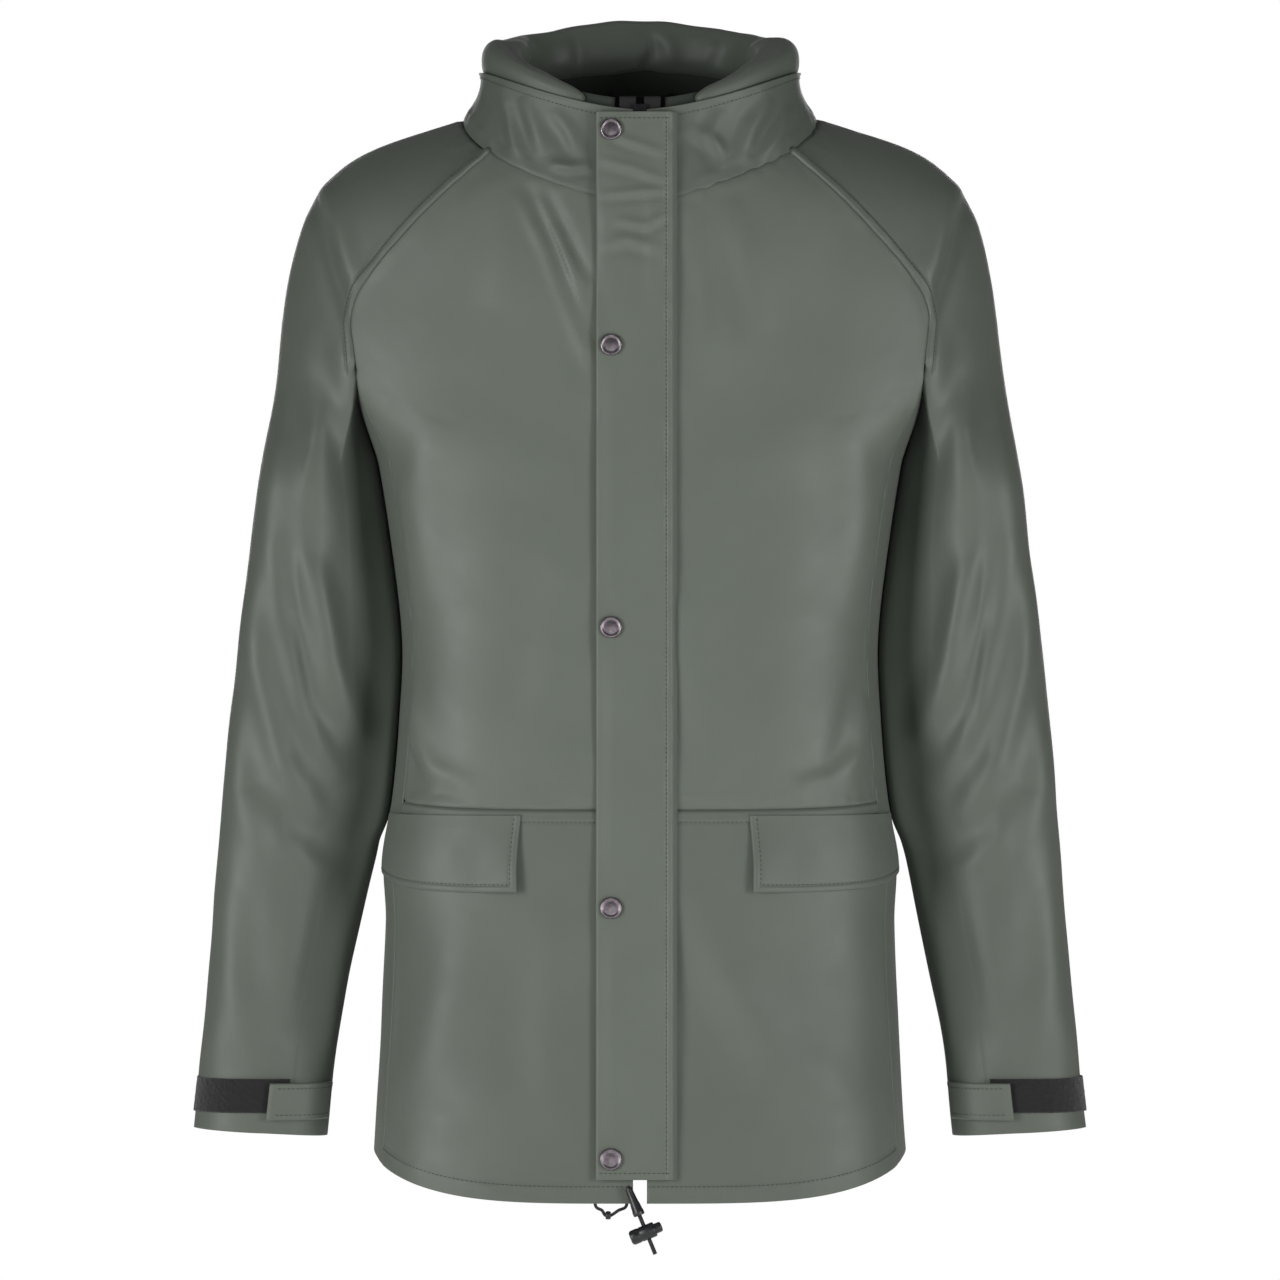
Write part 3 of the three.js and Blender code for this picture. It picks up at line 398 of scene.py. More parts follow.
def rumpled(p, normal, folds, mirror=1):
    """How far the cloth stands off its plain surface."""
    q = p * np.array([mirror, 1, 1])
    facing = smooth(-normal[..., 1] * 1.6 + 0.25)
    out = 0.9 * wave(p, 120, 1) + 0.35 * wave(p, 48, 2)
    for fold in folds:
        out = out + facing * crease(q, *fold)
    behind = smooth(normal[..., 1] * 1.6 + 0.25)
    out = out + behind * 1.6 * wave(p * np.array([1, 0.4, 0.45]), 80, 3)
    out = out - 1.4 * smooth(normal[..., 2] * 2 - 0.6)
    return FOLD_DEPTH * out


# ------------------------------------------------------------------ meshes
def normals_of(points, wrap=False):
    """Unit normals of a grid of points, whose last column meets its first if wrap is set."""
    du = np.roll(points, -1, 1) - np.roll(points, 1, 1) if wrap else np.gradient(points, axis=1)
    dv = np.gradient(points, axis=0)
    n = np.cross(du, dv)
    return n / np.maximum(np.linalg.norm(n, axis=-1, keepdims=True), 1e-9)


def outward(points, normal, core=(0.0, 0.0)):
    """The normals, turned over if they point in towards the upright axis through core."""
    radial = points[..., :2] - np.array(core)
    flip = np.sum(radial * normal[..., :2], axis=-1).sum() < 0
    return -normal if flip else normal


def hump(x, at, width):
    return np.exp(-((x - at) / width) ** 2)


def along(points, axis):
    """Distance in mm from the first row or column."""
    step = np.linalg.norm(np.diff(points, axis=axis), axis=-1)
    pad = [(1, 0), (0, 0)] if axis == 0 else [(0, 0), (1, 0)]
    return np.pad(np.cumsum(step, axis=axis), pad)


def nearest(values, wanted):
    return np.argmin(np.abs(values - wanted))


def numbered(points):
    """The number of each point of a grid, in a grid."""
    return np.arange(points[..., 0].size).reshape(points.shape[:2])


def flat_uv(points):
    return np.stack([along(points, 1), along(points, 0)], -1).reshape(-1, 2)


def both_ways(points, axis):
    """Distances in mm from the first and from the last row (axis 0) or column (axis 1)."""
    d = along(points, axis)
    return d, np.take(d, [-1], axis) - d


def mesh_object(name, verts, faces, uvs=None, materials=(), slots=None):
    mesh = bpy.data.meshes.new(name)
    mesh.from_pydata((np.asarray(verts) / 1000).tolist(), [], faces)
    for m in materials:
        mesh.materials.append(m)
    if slots is not None:
        mesh.polygons.foreach_set("material_index", np.asarray(slots, np.int32))
    if uvs is not None:
        layer = mesh.uv_layers.new(name="cloth")
        loops = np.zeros(len(mesh.loops), np.int32)
        mesh.loops.foreach_get("vertex_index", loops)
        layer.data.foreach_set("uv", (np.asarray(uvs, np.float32)[loops] / 1000).ravel())
    mesh.shade_smooth()
    mesh.update()
    obj = bpy.data.objects.new(name, mesh)
    bpy.context.scene.collection.objects.link(obj)
    return obj


def sheet(name, outer, inner, quads, uv, face, lining):
    """A closed sheet: the quads of the outer points, the same quads inside, and a rim between them."""
    n = len(outer)
    edges = {}
    for quad in quads.tolist():
        for p, q in zip(quad, quad[1:] + quad[:1]):
            if (q, p) in edges:
                del edges[(q, p)]
            else:
                edges[(p, q)] = True
    faces = quads.tolist() + (quads[:, ::-1] + n).tolist() + [[q, p, p + n, q + n] for p, q in edges]
    slots = [0] * len(quads) + [1] * len(quads) + [0] * len(edges)
    used = np.unique(quads)
    order = np.concatenate([used, used + n])
    place = -np.ones(2 * n, int)
    place[order] = np.arange(len(order))
    faces = [[int(place[i]) for i in f] for f in faces]
    verts, uvs = np.concatenate([outer, inner])[order], np.concatenate([uv, uv])[order]
    return mesh_object(name, verts, faces, uvs, [face, lining], slots)


def facing_out(cells, outer, normal, row):
    """The cells, turned over if they face against the normal at the start of the given row."""
    turn = np.cross(outer[row, 1] - outer[row, 0], outer[row + 1, 0] - outer[row, 0])
    return cells[..., ::-1] if np.dot(turn, normal[row, 0]) < 0 else cells


def cloth(name, points, normal, lift=0.0, thick=1.2, face=None, lining=None):
    """A sheet of cloth: points moved out by `lift`, with its inner face `thick` deeper and closed edges."""
    outer = points + normal * np.asarray(lift)[..., None]
    inner = outer - normal * thick
    idx = numbered(points)
    cells = np.stack([idx[:-1, :-1], idx[:-1, 1:], idx[1:, 1:], idx[1:, :-1]], -1)
    cells = facing_out(cells, outer, normal, 0).reshape(-1, 4)
    uv = flat_uv(points)
    return sheet(name, outer.reshape(-1, 3), inner.reshape(-1, 3), cells, uv, face, lining or face)


def stitches(name, path, normal, body, slot):
    """A row of stitches: small spindles lying along a path."""
    pitch, length, width, proud = 3.3, 2.3, 0.55, 0.12
    path, normal = np.asarray(path, float), np.asarray(normal, float)
    step = np.linalg.norm(np.diff(path, axis=0), axis=1)
    s = np.concatenate([[0], np.cumsum(step)])
    count = max(2, int(s[-1] / pitch))
    verts, faces = [], []
    for k in range(count):
        m = (k + 0.5) / count * s[-1]
        at = [np.interp(m + e, s, path[:, i]) for e in (-length / 2, length / 2) for i in range(3)]
        a, b = np.array(at[:3]), np.array(at[3:])
        n = np.array([np.interp(m, s, normal[:, i]) for i in range(3)])
        n /= np.linalg.norm(n)
        d = b - a
        side = np.cross(d, n)
        side /= max(np.linalg.norm(side), 1e-9)
        mid = (a + b) / 2 + n * (width * 0.35 + proud)
        a, b = a + n * (proud - 0.15), b + n * (proud - 0.15)
        base = len(verts)
        for f in (-0.28, 0.28):
            c = mid + d * f
            verts += [c + side * width / 2, c + n * width * 0.3, c - side * width / 2, c - n * width * 0.45]
        verts += [a, b]
        for i in range(4):
            j = (i + 1) % 4
            faces += [[base + i, base + j, base + 4 + j, base + 4 + i], [base + 8, base + j, base + i],
                      [base + 9, base + 4 + i, base + 4 + j]]
    return ride(mesh_object(name, verts, faces, None, [THREAD]), body, slot)


def tube_faces(rows, sides):
    """Quads between rings of points, and a face on each end."""
    faces = []
    for i in range(rows - 1):
        for j in range(sides):
            k = (j + 1) % sides
            faces.append([i * sides + j, i * sides + k, (i + 1) * sides + k, (i + 1) * sides + j])
    return faces + [list(range(sides))[::-1], list(range((rows - 1) * sides, rows * sides))]


def tube(name, path, radius, sides, material):
    """A round tube along points in mm."""
    path = np.asarray(path, float)
    tangent = np.gradient(path, axis=0)
    tangent /= np.linalg.norm(tangent, axis=1, keepdims=True)
    n = np.cross(tangent, [0, 1, 0])
    n /= np.linalg.norm(n, axis=1, keepdims=True)
    b = np.cross(tangent, n)
    angle = np.linspace(0, 2 * math.pi, sides, endpoint=False)
    c, s = np.cos(angle)[None, :, None], np.sin(angle)[None, :, None]
    ring = path[:, None] + radius * (c * n[:, None] + s * b[:, None])
    length = np.concatenate([[0], np.cumsum(np.linalg.norm(np.diff(path, axis=0), axis=1))])
    uv = np.stack(np.broadcast_arrays(angle[None] * radius, length[:, None]), -1).reshape(-1, 2)
    return mesh_object(name, ring.reshape(-1, 3), tube_faces(len(path), sides), uv, [material])


def turned(name, outline, place, material, sides=48):
    """A turned solid: (radius, height) outline, put in place by a function from local to row-frame points."""
    angle = np.linspace(0, 2 * math.pi, sides, endpoint=False)
    verts = []
    for r, h in outline:
        verts += [(r * math.cos(t), r * math.sin(t), h) for t in angle]
    return mesh_object(name, place(np.array(verts)), tube_faces(len(outline), sides), None, [material])


# ------------------------------------------------------------------ materials
def srgb(r, g, b):
    def one(c):
        c /= 255
        return c / 12.92 if c <= 0.04045 else ((c + 0.055) / 1.055) ** 2.4
    return (one(r), one(g), one(b), 1)


class Nodes:
    """A new node material with short calls for its nodes."""

    def __init__(self, name):
        self.material = bpy.data.materials.new(name)
        self.material.use_nodes = True
        self.tree = self.material.node_tree
        self.shader = self.tree.nodes["Principled BSDF"]

    def add(self, kind, **values):
        node = self.tree.nodes.new(kind)
        for key, value in values.items():
            if hasattr(node, key) and key not in node.inputs:
                setattr(node, key, value)
            else:
                node.inputs[key.replace("_", " ")].default_value = value
        return node

    def link(self, a, out, b, into):
        self.tree.links.new(a.outputs[out], b.inputs[into])

    def cloth_uv(self):
        uv = self.add("ShaderNodeUVMap")
        uv.uv_map = "cloth"
        return uv

    def colour(self, source, out, stops):
        self.link(self.ramp(source, out, stops), "Color", self.shader, "Base Color")

    def gloss(self, source, low, high):
        """Roughness from low to high as the source goes from 0.3 to 0.7."""
        rough = self.add("ShaderNodeMapRange", From_Min=0.3, From_Max=0.7, To_Min=low, To_Max=high)
        self.link(source, "Fac", rough, "Value")
        self.link(rough, "Result", self.shader, "Roughness")

    def noise(self, coords, out, scale, detail=3.0, rough=0.55):
        n = self.add("ShaderNodeTexNoise", Scale=scale, Detail=detail, Roughness=rough)
        self.link(coords, out, n, "Vector")
        return n

    def ramp(self, source, out, stops):
        r = self.add("ShaderNodeValToRGB")
        while len(r.color_ramp.elements) > len(stops):
            r.color_ramp.elements.remove(r.color_ramp.elements[-1])
        for i, (at, colour) in enumerate(stops):
            e = r.color_ramp.elements[i] if i < len(r.color_ramp.elements) else r.color_ramp.elements.new(at)
            e.position, e.color = at, colour
        self.link(source, out, r, "Fac")
        return r

    def bumps(self, *layers):
        """Bumps one on another: (height node, output, distance in m, strength)."""
        last = None
        for source, out, distance, strength in layers:
            b = self.add("ShaderNodeBump", Strength=strength, Distance=distance)
            self.link(source, out, b, "Height")
            if last:
                self.link(last, "Normal", b, "Normal")
            last = b
        self.link(last, "Normal", self.shader, "Normal")


def shade(colour, factor):
    return tuple(min(1, c * factor) for c in colour[:3]) + (1,)


def coated_cloth(name, colour, rough=0.55):
    """Smooth coated waterproof fabric: fine grain, soft dents, faint rubbed patches."""
    m = Nodes(name)
    uv = m.cloth_uv()
    patches = m.noise(uv, "UV", 9, 4, 0.6)
    m.colour(patches, "Fac", [(0.3, shade(colour, 0.93)), (0.55, colour), (0.75, shade(colour, 1.06))])
    rub = m.noise(uv, "UV", 26, 5, 0.65)
    m.gloss(rub, rough - 0.05, rough + 0.06)
    dents = m.noise(uv, "UV", 34, 3, 0.5)
    grain = m.noise(uv, "UV", 1300, 2, 0.5)
    weave = m.add("ShaderNodeTexVoronoi", Scale=1500.0)
    m.link(uv, "UV", weave, "Vector")
    m.bumps((dents, "Fac", 0.0012, 0.22), (grain, "Fac", 0.0001, 0.35), (weave, "Distance", 0.00006, 0.3))
    m.shader.inputs["Specular IOR Level"].default_value = 0.42
    m.shader.inputs["Sheen Weight"].default_value = 0.06
    m.shader.inputs["Sheen Roughness"].default_value = 0.5
    return m.material


def woven_tape(name, colour):
    """Plain weave: two crossing waves, one thread every 1.1 mm."""
    threads = 1 / 0.0011 / 6.283
    m = Nodes(name)
    uv = m.cloth_uv()
    mix = m.add("ShaderNodeMath", operation="MULTIPLY")
    for i, way in enumerate("XY"):
        w = m.add("ShaderNodeTexWave", Scale=threads, Distortion=0.6, Detail=1.0)
        w.bands_direction = way
        m.link(uv, "UV", w, "Vector")
        m.link(w, "Fac", mix, i)
    m.colour(mix, "Value", [(0.0, shade(colour, 0.6)), (1.0, shade(colour, 1.35))])
    m.bumps((mix, "Value", 0.0003, 0.6))
    m.shader.inputs["Roughness"].default_value = 0.85
    return m.material


def loop_pile(name, colour):
    """Hook-and-loop tape: a short tangled pile."""
    m = Nodes(name)
    uv = m.cloth_uv()
    fuzz = m.noise(uv, "UV", 900, 6, 0.75)
    lumps = m.noise(uv, "UV", 190, 3, 0.6)
    m.colour(fuzz, "Fac", [(0.35, shade(colour, 0.35)), (0.6, colour), (0.75, shade(colour, 2.2))])
    m.bumps((lumps, "Fac", 0.0012, 0.7), (fuzz, "Fac", 0.0009, 1.0))
    m.shader.inputs["Roughness"].default_value = 0.95
    m.shader.inputs["Sheen Weight"].default_value = 0.25
    return m.material


def metal(name, colour, rough):
    """Plated metal with fine scratches."""
    m = Nodes(name)
    at = m.add("ShaderNodeTexCoord")
    worn = m.noise(at, "Object", 420, 4, 0.6)
    scratches = m.noise(at, "Object", 1800, 3, 0.7)
    m.colour(worn, "Fac", [(0.35, shade(colour, 0.75)), (0.65, shade(colour, 1.2))])
    m.gloss(scratches, rough - 0.08, rough + 0.1)
    m.bumps((scratches, "Fac", 0.00005, 0.35))
    m.shader.inputs["Metallic"].default_value = 1
    return m.material


def plastic(name, colour, rough):
    """Moulded plastic with a fine grain."""
    m = Nodes(name)
    at = m.add("ShaderNodeTexCoord")
    grain = m.noise(at, "Object", 2400, 2, 0.5)
    patches = m.noise(at, "Object", 160, 3, 0.5)
    m.colour(patches, "Fac", [(0.3, shade(colour, 0.8)), (0.7, shade(colour, 1.25))])
    m.bumps((grain, "Fac", 0.00004, 0.4))
    m.shader.inputs["Roughness"].default_value = rough
    return m.material


def braided(name, colour):
    """Cord cover: two slanted waves, each way round the cord."""
    m = Nodes(name)
    uv = m.cloth_uv()
    mix = m.add("ShaderNodeMath", operation="MAXIMUM")
    for i, turn in enumerate((0.7, -0.7)):
        spin = m.add("ShaderNodeMapping")
        spin.inputs["Rotation"].default_value = (0, 0, turn)
        m.link(uv, "UV", spin, "Vector")
        w = m.add("ShaderNodeTexWave", Scale=190.0, Distortion=0.2)
        m.link(spin, "Vector", w, "Vector")
        m.link(w, "Fac", mix, i)
    m.colour(mix, "Value", [(0.3, shade(colour, 0.5)), (1.0, shade(colour, 1.4))])
    m.bumps((mix, "Value", 0.0004, 0.8))
    m.shader.inputs["Roughness"].default_value = 0.8
    return m.material


camera()
OLIVE = srgb(84, 91, 82)
SHELL = coated_cloth("shell_cloth", OLIVE)
SHELL_LOW = coated_cloth("lower_cloth", shade(OLIVE, 0.93))
# sleeves: the shell's olive darkened to 0.85 as painted shade, for the shade that falls on the hanging
# sleeves
SLEEVE_PAINTED_SHADE = coated_cloth("sleeve_cloth_painted_shade", shade(OLIVE, 0.85))
LINING = coated_cloth("lining_cloth", srgb(38, 44, 38), rough=0.8)
# collar stand and rolled hood: the shell's olive darkened to 0.8 as painted shade, for the shade on the
# collar that leans back
STAND_PAINTED_SHADE = coated_cloth("collar_cloth_painted_shade", shade(OLIVE, 0.8))
THREAD = plastic("thread", srgb(58, 64, 57), 0.75)
WEBBING = woven_tape("zip_tape_cloth", srgb(13, 13, 15))
PILE = loop_pile("loop_pile", srgb(7, 7, 8))
HOOKS = loop_pile("hook_pile", srgb(7, 7, 8))
PEWTER = metal("pewter", srgb(122, 115, 120), 0.34)
GUNMETAL = metal("gunmetal", srgb(46, 46, 50), 0.4)
BLACK = plastic("black_plastic", srgb(24, 25, 27), 0.38)
BRAID = braided("black_braid", srgb(30, 30, 32))


def ride(obj, body, slot, *nodes):
    """Fixes a piece to a body, in place of the named nodes. The slot is not used."""
    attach(obj, body)
    if nodes:
        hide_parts(*nodes)
    return obj


# ------------------------------------------------------------------ body panels
def seam_profile(d, raised=False):
    """Cloth beside a sewn seam, d mm from it: the edge rolls in, and the allowance stands up under it."""
    roll = -0.9 * hump(d, 0, 1.1)
    if not raised:
        return roll
    ridge = 1.5 * smooth(d / 2.0) * (1 - smooth((d - 5.6) / 1.8))
    groove = -0.7 * hump(d, 7.4, 1.1)
    return roll + ridge + groove


def mirrored(points, side):
    return points * np.array([side, 1, 1])


for word, side in SIDES:
    # upper front, from the collar seam and raglan seam down to the waist seam
    s = fine_steps(215, 3.0, 0.9, False, True)
    v = np.concatenate([np.linspace(0, 1, 46)[:-1], 1 + fine_steps(320, 3.2, 0.9, False, True)])
    p = mirrored(front_grid(s, v), side)
    n = outward(p, normals_of(p))
    edge, to_side = both_ways(p, 1)
    to_collar, to_waist = both_ways(p, 0)
    calm = smooth(edge / 20) * smooth(to_side / 14 + 0.2)
    lift = rumpled(p, n, BODY_FOLDS) * calm * smooth(to_waist / 12 + 0.15)
    lift += 0.3 * seam_profile(to_side) + seam_profile(to_waist) + seam_profile(to_collar)
    lift += pucker(p, to_side) + pucker(p, to_waist, 9) + pucker(p, to_collar, 10, 0.7)
    upper = cloth(f"upper_front_{word}", p, n, lift, face=SHELL, lining=LINING)
    ride(upper, "torso", "shell", f"front_upper_{word}")

    # lower front, with its raised and topstitched waist seam and hem
    v = 2 + fine_steps(285, 3.2, 0.9, True, True)
    p = mirrored(front_grid(s, v), side)
    n = outward(p, normals_of(p))
    edge, to_side = both_ways(p, 1)
    down, up = both_ways(p, 0)
    calm = smooth(edge / 20) * smooth(to_side / 14 + 0.2)
    lift = rumpled(p, n, BODY_FOLDS) * calm * smooth(down / 14 + 0.1)
    waist_ridge = 0.8 * smooth(down / 2.0) * (1 - smooth((down - 8.0) / 1.2))
    waist_ridge -= 0.4 * hump(down, WAIST_STITCH, 0.9)
    hem_groove = -0.5 * hump(up, HEM_STITCH, 1.0) + 0.35 * (1 - smooth((up - 11) / 2))
    lift += 0.3 * seam_profile(to_side) + seam_profile(down) + waist_ridge + hem_groove
    lift += pucker(p, np.abs(up - 10), 9, 0.35) + pucker(p, np.abs(down - 9), 6, 0.35)
    under_cord = np.exp(-((p[..., 0] + 20) / 24) ** 4 - (up / 34) ** 4)
    lift = lift * (1 - under_cord) - 0.35 * under_cord
    lower = cloth(f"lower_front_{word}", p, n, lift, face=SHELL_LOW, lining=LINING)
    ride(lower, "torso", "lower_shell", f"front_lower_{word}")
    q = p + n * lift[..., None]
    for label, d, at in (("waist", down, WAIST_STITCH), ("hem", up, HEM_STITCH)):
        i = nearest(d[:, 40], at)
        stitches(f"stitch_{label}_{word}", q[i], n[i], "torso", "lower_shell")

    # side panel under the arm
    s2 = fine_steps(190, 4.0, 1.2, True, True)
    to_seam, to_hem = fine_steps(320, 4.0, 1.2, False, False), fine_steps(262, 4.0, 1.2, False, True)
    v = np.concatenate([1 + to_seam, (2 + to_hem)[1:]])
    p = mirrored(side_grid(s2, v), side)
    n = outward(p, normals_of(p))
    a, b = both_ways(p, 1)
    closed = smooth((-150 - p[..., 2]) / 20) * smooth((p[..., 2] + 510) / 20)
    lift = 0.3 * seam_profile(a) + seam_profile(b)
    lift += 0.8 * wave(p, 70, 4) * smooth(a / 20) * smooth(b / 20) * (1 - closed)
    lift += 1.3 * closed * smooth(a / 30) * smooth(b / 30)
    flank = cloth(f"side_{word}", p, n, lift, face=SHELL_LOW, lining=LINING)
    ride(flank, "torso", "lower_shell", f"side_panel_{word}")

# back, in two panels
s = np.concatenate([-fine_steps(210, 5, 1.2, False, True)[::-1], fine_steps(210, 5, 1.2, False, True)[1:]])
for name, v, node, look, slot in (
        ("upper_back", np.concatenate([np.linspace(0, 1, 36)[:-1], 1 + fine_steps(315, 5, 1.2, False, True)]),
         "back_upper", SHELL, "shell"),
        ("lower_back", 2 + fine_steps(270, 5, 1.2, True, True), "back_lower", SHELL_LOW, "lower_shell")):
    p = back_grid(s, v)
    n = outward(p, normals_of(p))
    a, b = both_ways(p, 1)
    down, up = both_ways(p, 0)
    calm = smooth(a / 25) * smooth(b / 25) * smooth(down / 20) * smooth(up / 20)
    lift = rumpled(p, n, []) * calm + seam_profile(a) + seam_profile(b)
    if name == "upper_back":
        lift += seam_profile(up)
    else:
        lift += seam_profile(down, True)
        lift += -0.5 * hump(up, HEM_STITCH, 1.0)
    piece = cloth(name, p, n, lift, face=look, lining=LINING)
    ride(piece, "torso", slot, node)
    q = p + n * lift[..., None]
    rows = [("waist_back", down, RAISED_STITCH), ("hem_back", up, HEM_STITCH)] if name == "lower_back" else []
    for label, d, at in rows:
        i = nearest(d[:, d.shape[1] // 2], at)
        stitches(f"stitch_{label}", q[i], n[i], "torso", "lower_shell")

# ------------------------------------------------------------------ sleeves: cap and arm in one piece
def slack(z):
    """Room between the sleeve and the body's side at height z."""
    zs = np.linspace(-760, -166, 120)
    row = 1 + (CHEST["z"] - zs) / (CHEST["z"] - WAIST_SIDE)
    row = np.where(zs < WAIST_SIDE, 2 + (WAIST_SIDE - zs) / (WAIST_SIDE - HEM_SIDE), row)
    body = side_grid(np.linspace(0, 1, 31), np.clip(row, 1, 3))[..., 0].max(axis=1)
    arm = arm_points(np.full(zs.shape, 180.0), zs)[..., 0]
    return np.interp(z, zs, arm - body)


def softened(p, a):
    """The hanging sleeve's own section: fuller outside the elbow, and slack where it turns in to the body."""
    p = p.copy()
    z = p[..., 2]
    w = smooth((-140 - z) / 80) * lerp(1, 0.45, smooth((-460 - z) / 140)) * smooth((z + 700) / 50)
    near_armpit = 1 - smooth((CHEST["z"] - z) / 90)
    out = np.where(np.abs(a) < 90, np.cos(np.radians(a)) ** 2, 0)
    p[..., 0] += near_armpit * (through(SLEEVE_OUTER, z) - CHEST["half_width"]) * out
    size = np.abs(a)
    inner = np.where((a < 0) & (size > 75), np.sin(np.pi * (size - 75) / 105) ** 2, 0)
    p[..., 1] += w * 24 * inner
    outer = np.where((a < 0) & (size < 80), np.sin(np.pi * size / 80) ** 2, 0)
    p[..., 1] -= w * 7 * outer
    p[..., 0] += w * 5 * outer
    closed = smooth((-166 - z) / 12) * smooth((z + 512) / 20)
    p[..., 0] -= closed * (slack(z) - 1.6) * np.where(size > 130, smooth((size - 130) / 30), 0)
    return p


for word, side in SIDES:
    half = fine_steps(150, 3.2, 0.9, False, True)
    columns = np.concatenate([-half[::-1], half[1:]])
    t = np.linspace(0, 1, 60)
    ends = np.where(columns[None] < 0, -seam_angle(t, -90)[:, None], seam_angle(t, 90)[:, None])
    cap = yoke(columns[None] * ends, t[:, None])
    angles = columns * ARMPIT
    under = np.linspace(ARMPIT, 360 - ARMPIT, 46)[1:-1]
    under = np.where(under > 180, under - 360, under)
    every = np.concatenate([angles, under])
    rows = fine_steps(585, 3.4, 1.0, False, True)[:, None]
    top_x = arm_top(every)[0][None]
    z = lerp(shoulder_cut(top_x), cuff_z(every)[None], rows)
    arm = arm_points(np.broadcast_to(every[None], z.shape), z)
    # one grid: the cap's rows carry the armpit's point in the under-arm columns, and are left out there
    pad = np.broadcast_to(arm[:1, len(angles):], (len(t) - 1, len(under), 3))
    p = np.concatenate([np.concatenate([cap[:-1], pad], axis=1), arm], axis=0)
    p[len(t) - 1:] = softened(p[len(t) - 1:], every[None])
    p = mirrored(p, side)
    n_cap = normals_of(p[:, :len(angles)])
    n_arm = normals_of(p[len(t) - 1:], wrap=True)
    n = np.zeros_like(p)
    n[:, :len(angles)] = n_cap
    n[len(t) - 1:] = n_arm
    core = (side * SLEEVE_CENTRE[0], SLEEVE_CENTRE[1])
    if np.sum((p[-40:, :, :2] - np.array(core)) * n[-40:, :, :2]) < 0:
        n = -n
    blend_rows = slice(len(t) - 5, len(t) + 5)
    for _ in range(3):
        n[blend_rows, :len(angles)] = (n[len(t) - 6:len(t) + 4, :len(angles)] + n[blend_rows, :len(angles)]
                                       + n[len(t) - 4:len(t) + 6, :len(angles)]) / 3
    n /= np.maximum(np.linalg.norm(n, axis=-1, keepdims=True), 1e-9)
    lift = rumpled(p, n, SLEEVE_FOLDS, mirror=side)
    beside = smooth((np.abs(every)[None] - 150) / 20) * smooth((-140 - p[..., 2]) / 20)
    lift *= 1 - beside * smooth((p[..., 2] + 525) / 20)
    cap_part = p[:len(t), :len(angles)]
    from_front, from_back = both_ways(cap_part, 1)
    edge = np.minimum(from_front, from_back)
    seam = seam_profile(edge, raised=True)
    fade = smooth(edge / 14 + 0.1)
    lift[:len(t), :len(angles)] = lift[:len(t), :len(angles)] * fade + seam
    to_collar = along(cap_part, 0)
    lift[:len(t), :len(angles)] += seam_profile(to_collar) + pucker(cap_part, to_collar, 12, 0.8)
    lift[:len(t), :len(angles)] += pucker(cap_part, np.abs(edge - 4), 6, 0.4)
    down_arm, up = both_ways(p[len(t) - 1:], 0)
    tuck = smooth(down_arm / 60)
    lift[len(t) - 1:] *= np.where(np.arange(p.shape[1])[None] < len(angles), 1, tuck)
    lift[len(t) - 1:] *= smooth(up / 60 + 0.15)
    outer_p = p + n * lift[..., None]
    idx = numbered(p)
    right = np.roll(idx, -1, 1)
    cells = facing_out(np.stack([idx[:-1], right[:-1], right[1:], idx[1:]], -1), outer_p, n, len(p) - 3)
    cap_cells, arm_cells = cells[:len(t) - 1, :len(angles) - 1], cells[len(t) - 1:]
    quads = np.concatenate([cap_cells.reshape(-1, 4), arm_cells.reshape(-1, 4)])
    # the sleeve's outer face is in the sleeve cloth with painted shade
    sleeve = sheet(f"sleeve_{word}", outer_p.reshape(-1, 3), (outer_p - n * 1.2).reshape(-1, 3), quads,
                   flat_uv(p), SLEEVE_PAINTED_SHADE, LINING)
    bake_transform(sleeve)
    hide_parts(f"sleeve_cap_{word}", f"sleeve_front_{word}", f"sleeve_back_{word}")

    at = nearest(from_front[30], RAISED_STITCH)
    for label, column in (("front", at), ("back", len(angles) - 1 - at)):
        path = outer_p[:len(t) - 1, column]
        stitches(f"stitch_raglan_{label}_{word}", path, n[:len(t) - 1, column], "torso", "sleeve_shell")

    # cuff tape, tab and hook patch
    def cuff(name, a0, a1, top, bottom, lift, thick, material, body, slot, node, steps_a=60, shape=None):
        a = np.linspace(a0, a1, steps_a)
        zz = np.linspace(top, bottom, 22)
        grid_a, grid_z = np.meshgrid(a, zz)
        q = mirrored(arm_points(grid_a, grid_z), side)
        m_ = outward(q, normals_of(q), core)
        height = lift(grid_a, grid_z) if callable(lift) else lift
        extra = shape(q, grid_a, grid_z) if shape else 0
        piece = cloth(name, q, m_, height + extra, thick=thick, face=material)
        ride(piece, body, slot, node)
        return q + m_ * (np.asarray(height + extra) * np.ones(q.shape[:2]))[..., None], m_

    def pile(q, a, z):
        return 0.16 * wave(q, 2.2, 8) * smooth((z - TAPE_BOTTOM) / 1.5) * smooth((TAPE_TOP - z) / 1.5)

    cuff(f"cuff_tape_{word}", -108, 72, TAPE_TOP, TAPE_BOTTOM, 1.8, 1.0, PILE, f"sleeve_{word}", "black_tape",
         f"cuff_loop_tape_{word}", 220, pile)
    cuff(f"cuff_hooks_{word}", -108, -97, TAPE_TOP - 4, TAPE_BOTTOM - 2, 3.0, 0.8, HOOKS, f"cuff_tab_{word}",
         "black_tape", f"cuff_hook_patch_{word}", 20)

    def tab_lift(a, z):
        return 1.6 + lerp(0.4, 3.4, smooth((a + 162) / 40))

    def tab_shape(q, a, z):
        d_end = np.abs(a + 93) / 180 * math.pi * 48
        d_top, d_bottom = TAB_TOP - z, z - TAB_BOTTOM
        rim = 0.7 * hump(d_end, 2.2, 1.4)
        edge = 0.25 * (hump(d_top, 2, 1.2) + hump(d_bottom, 2, 1.2))
        return rim + edge

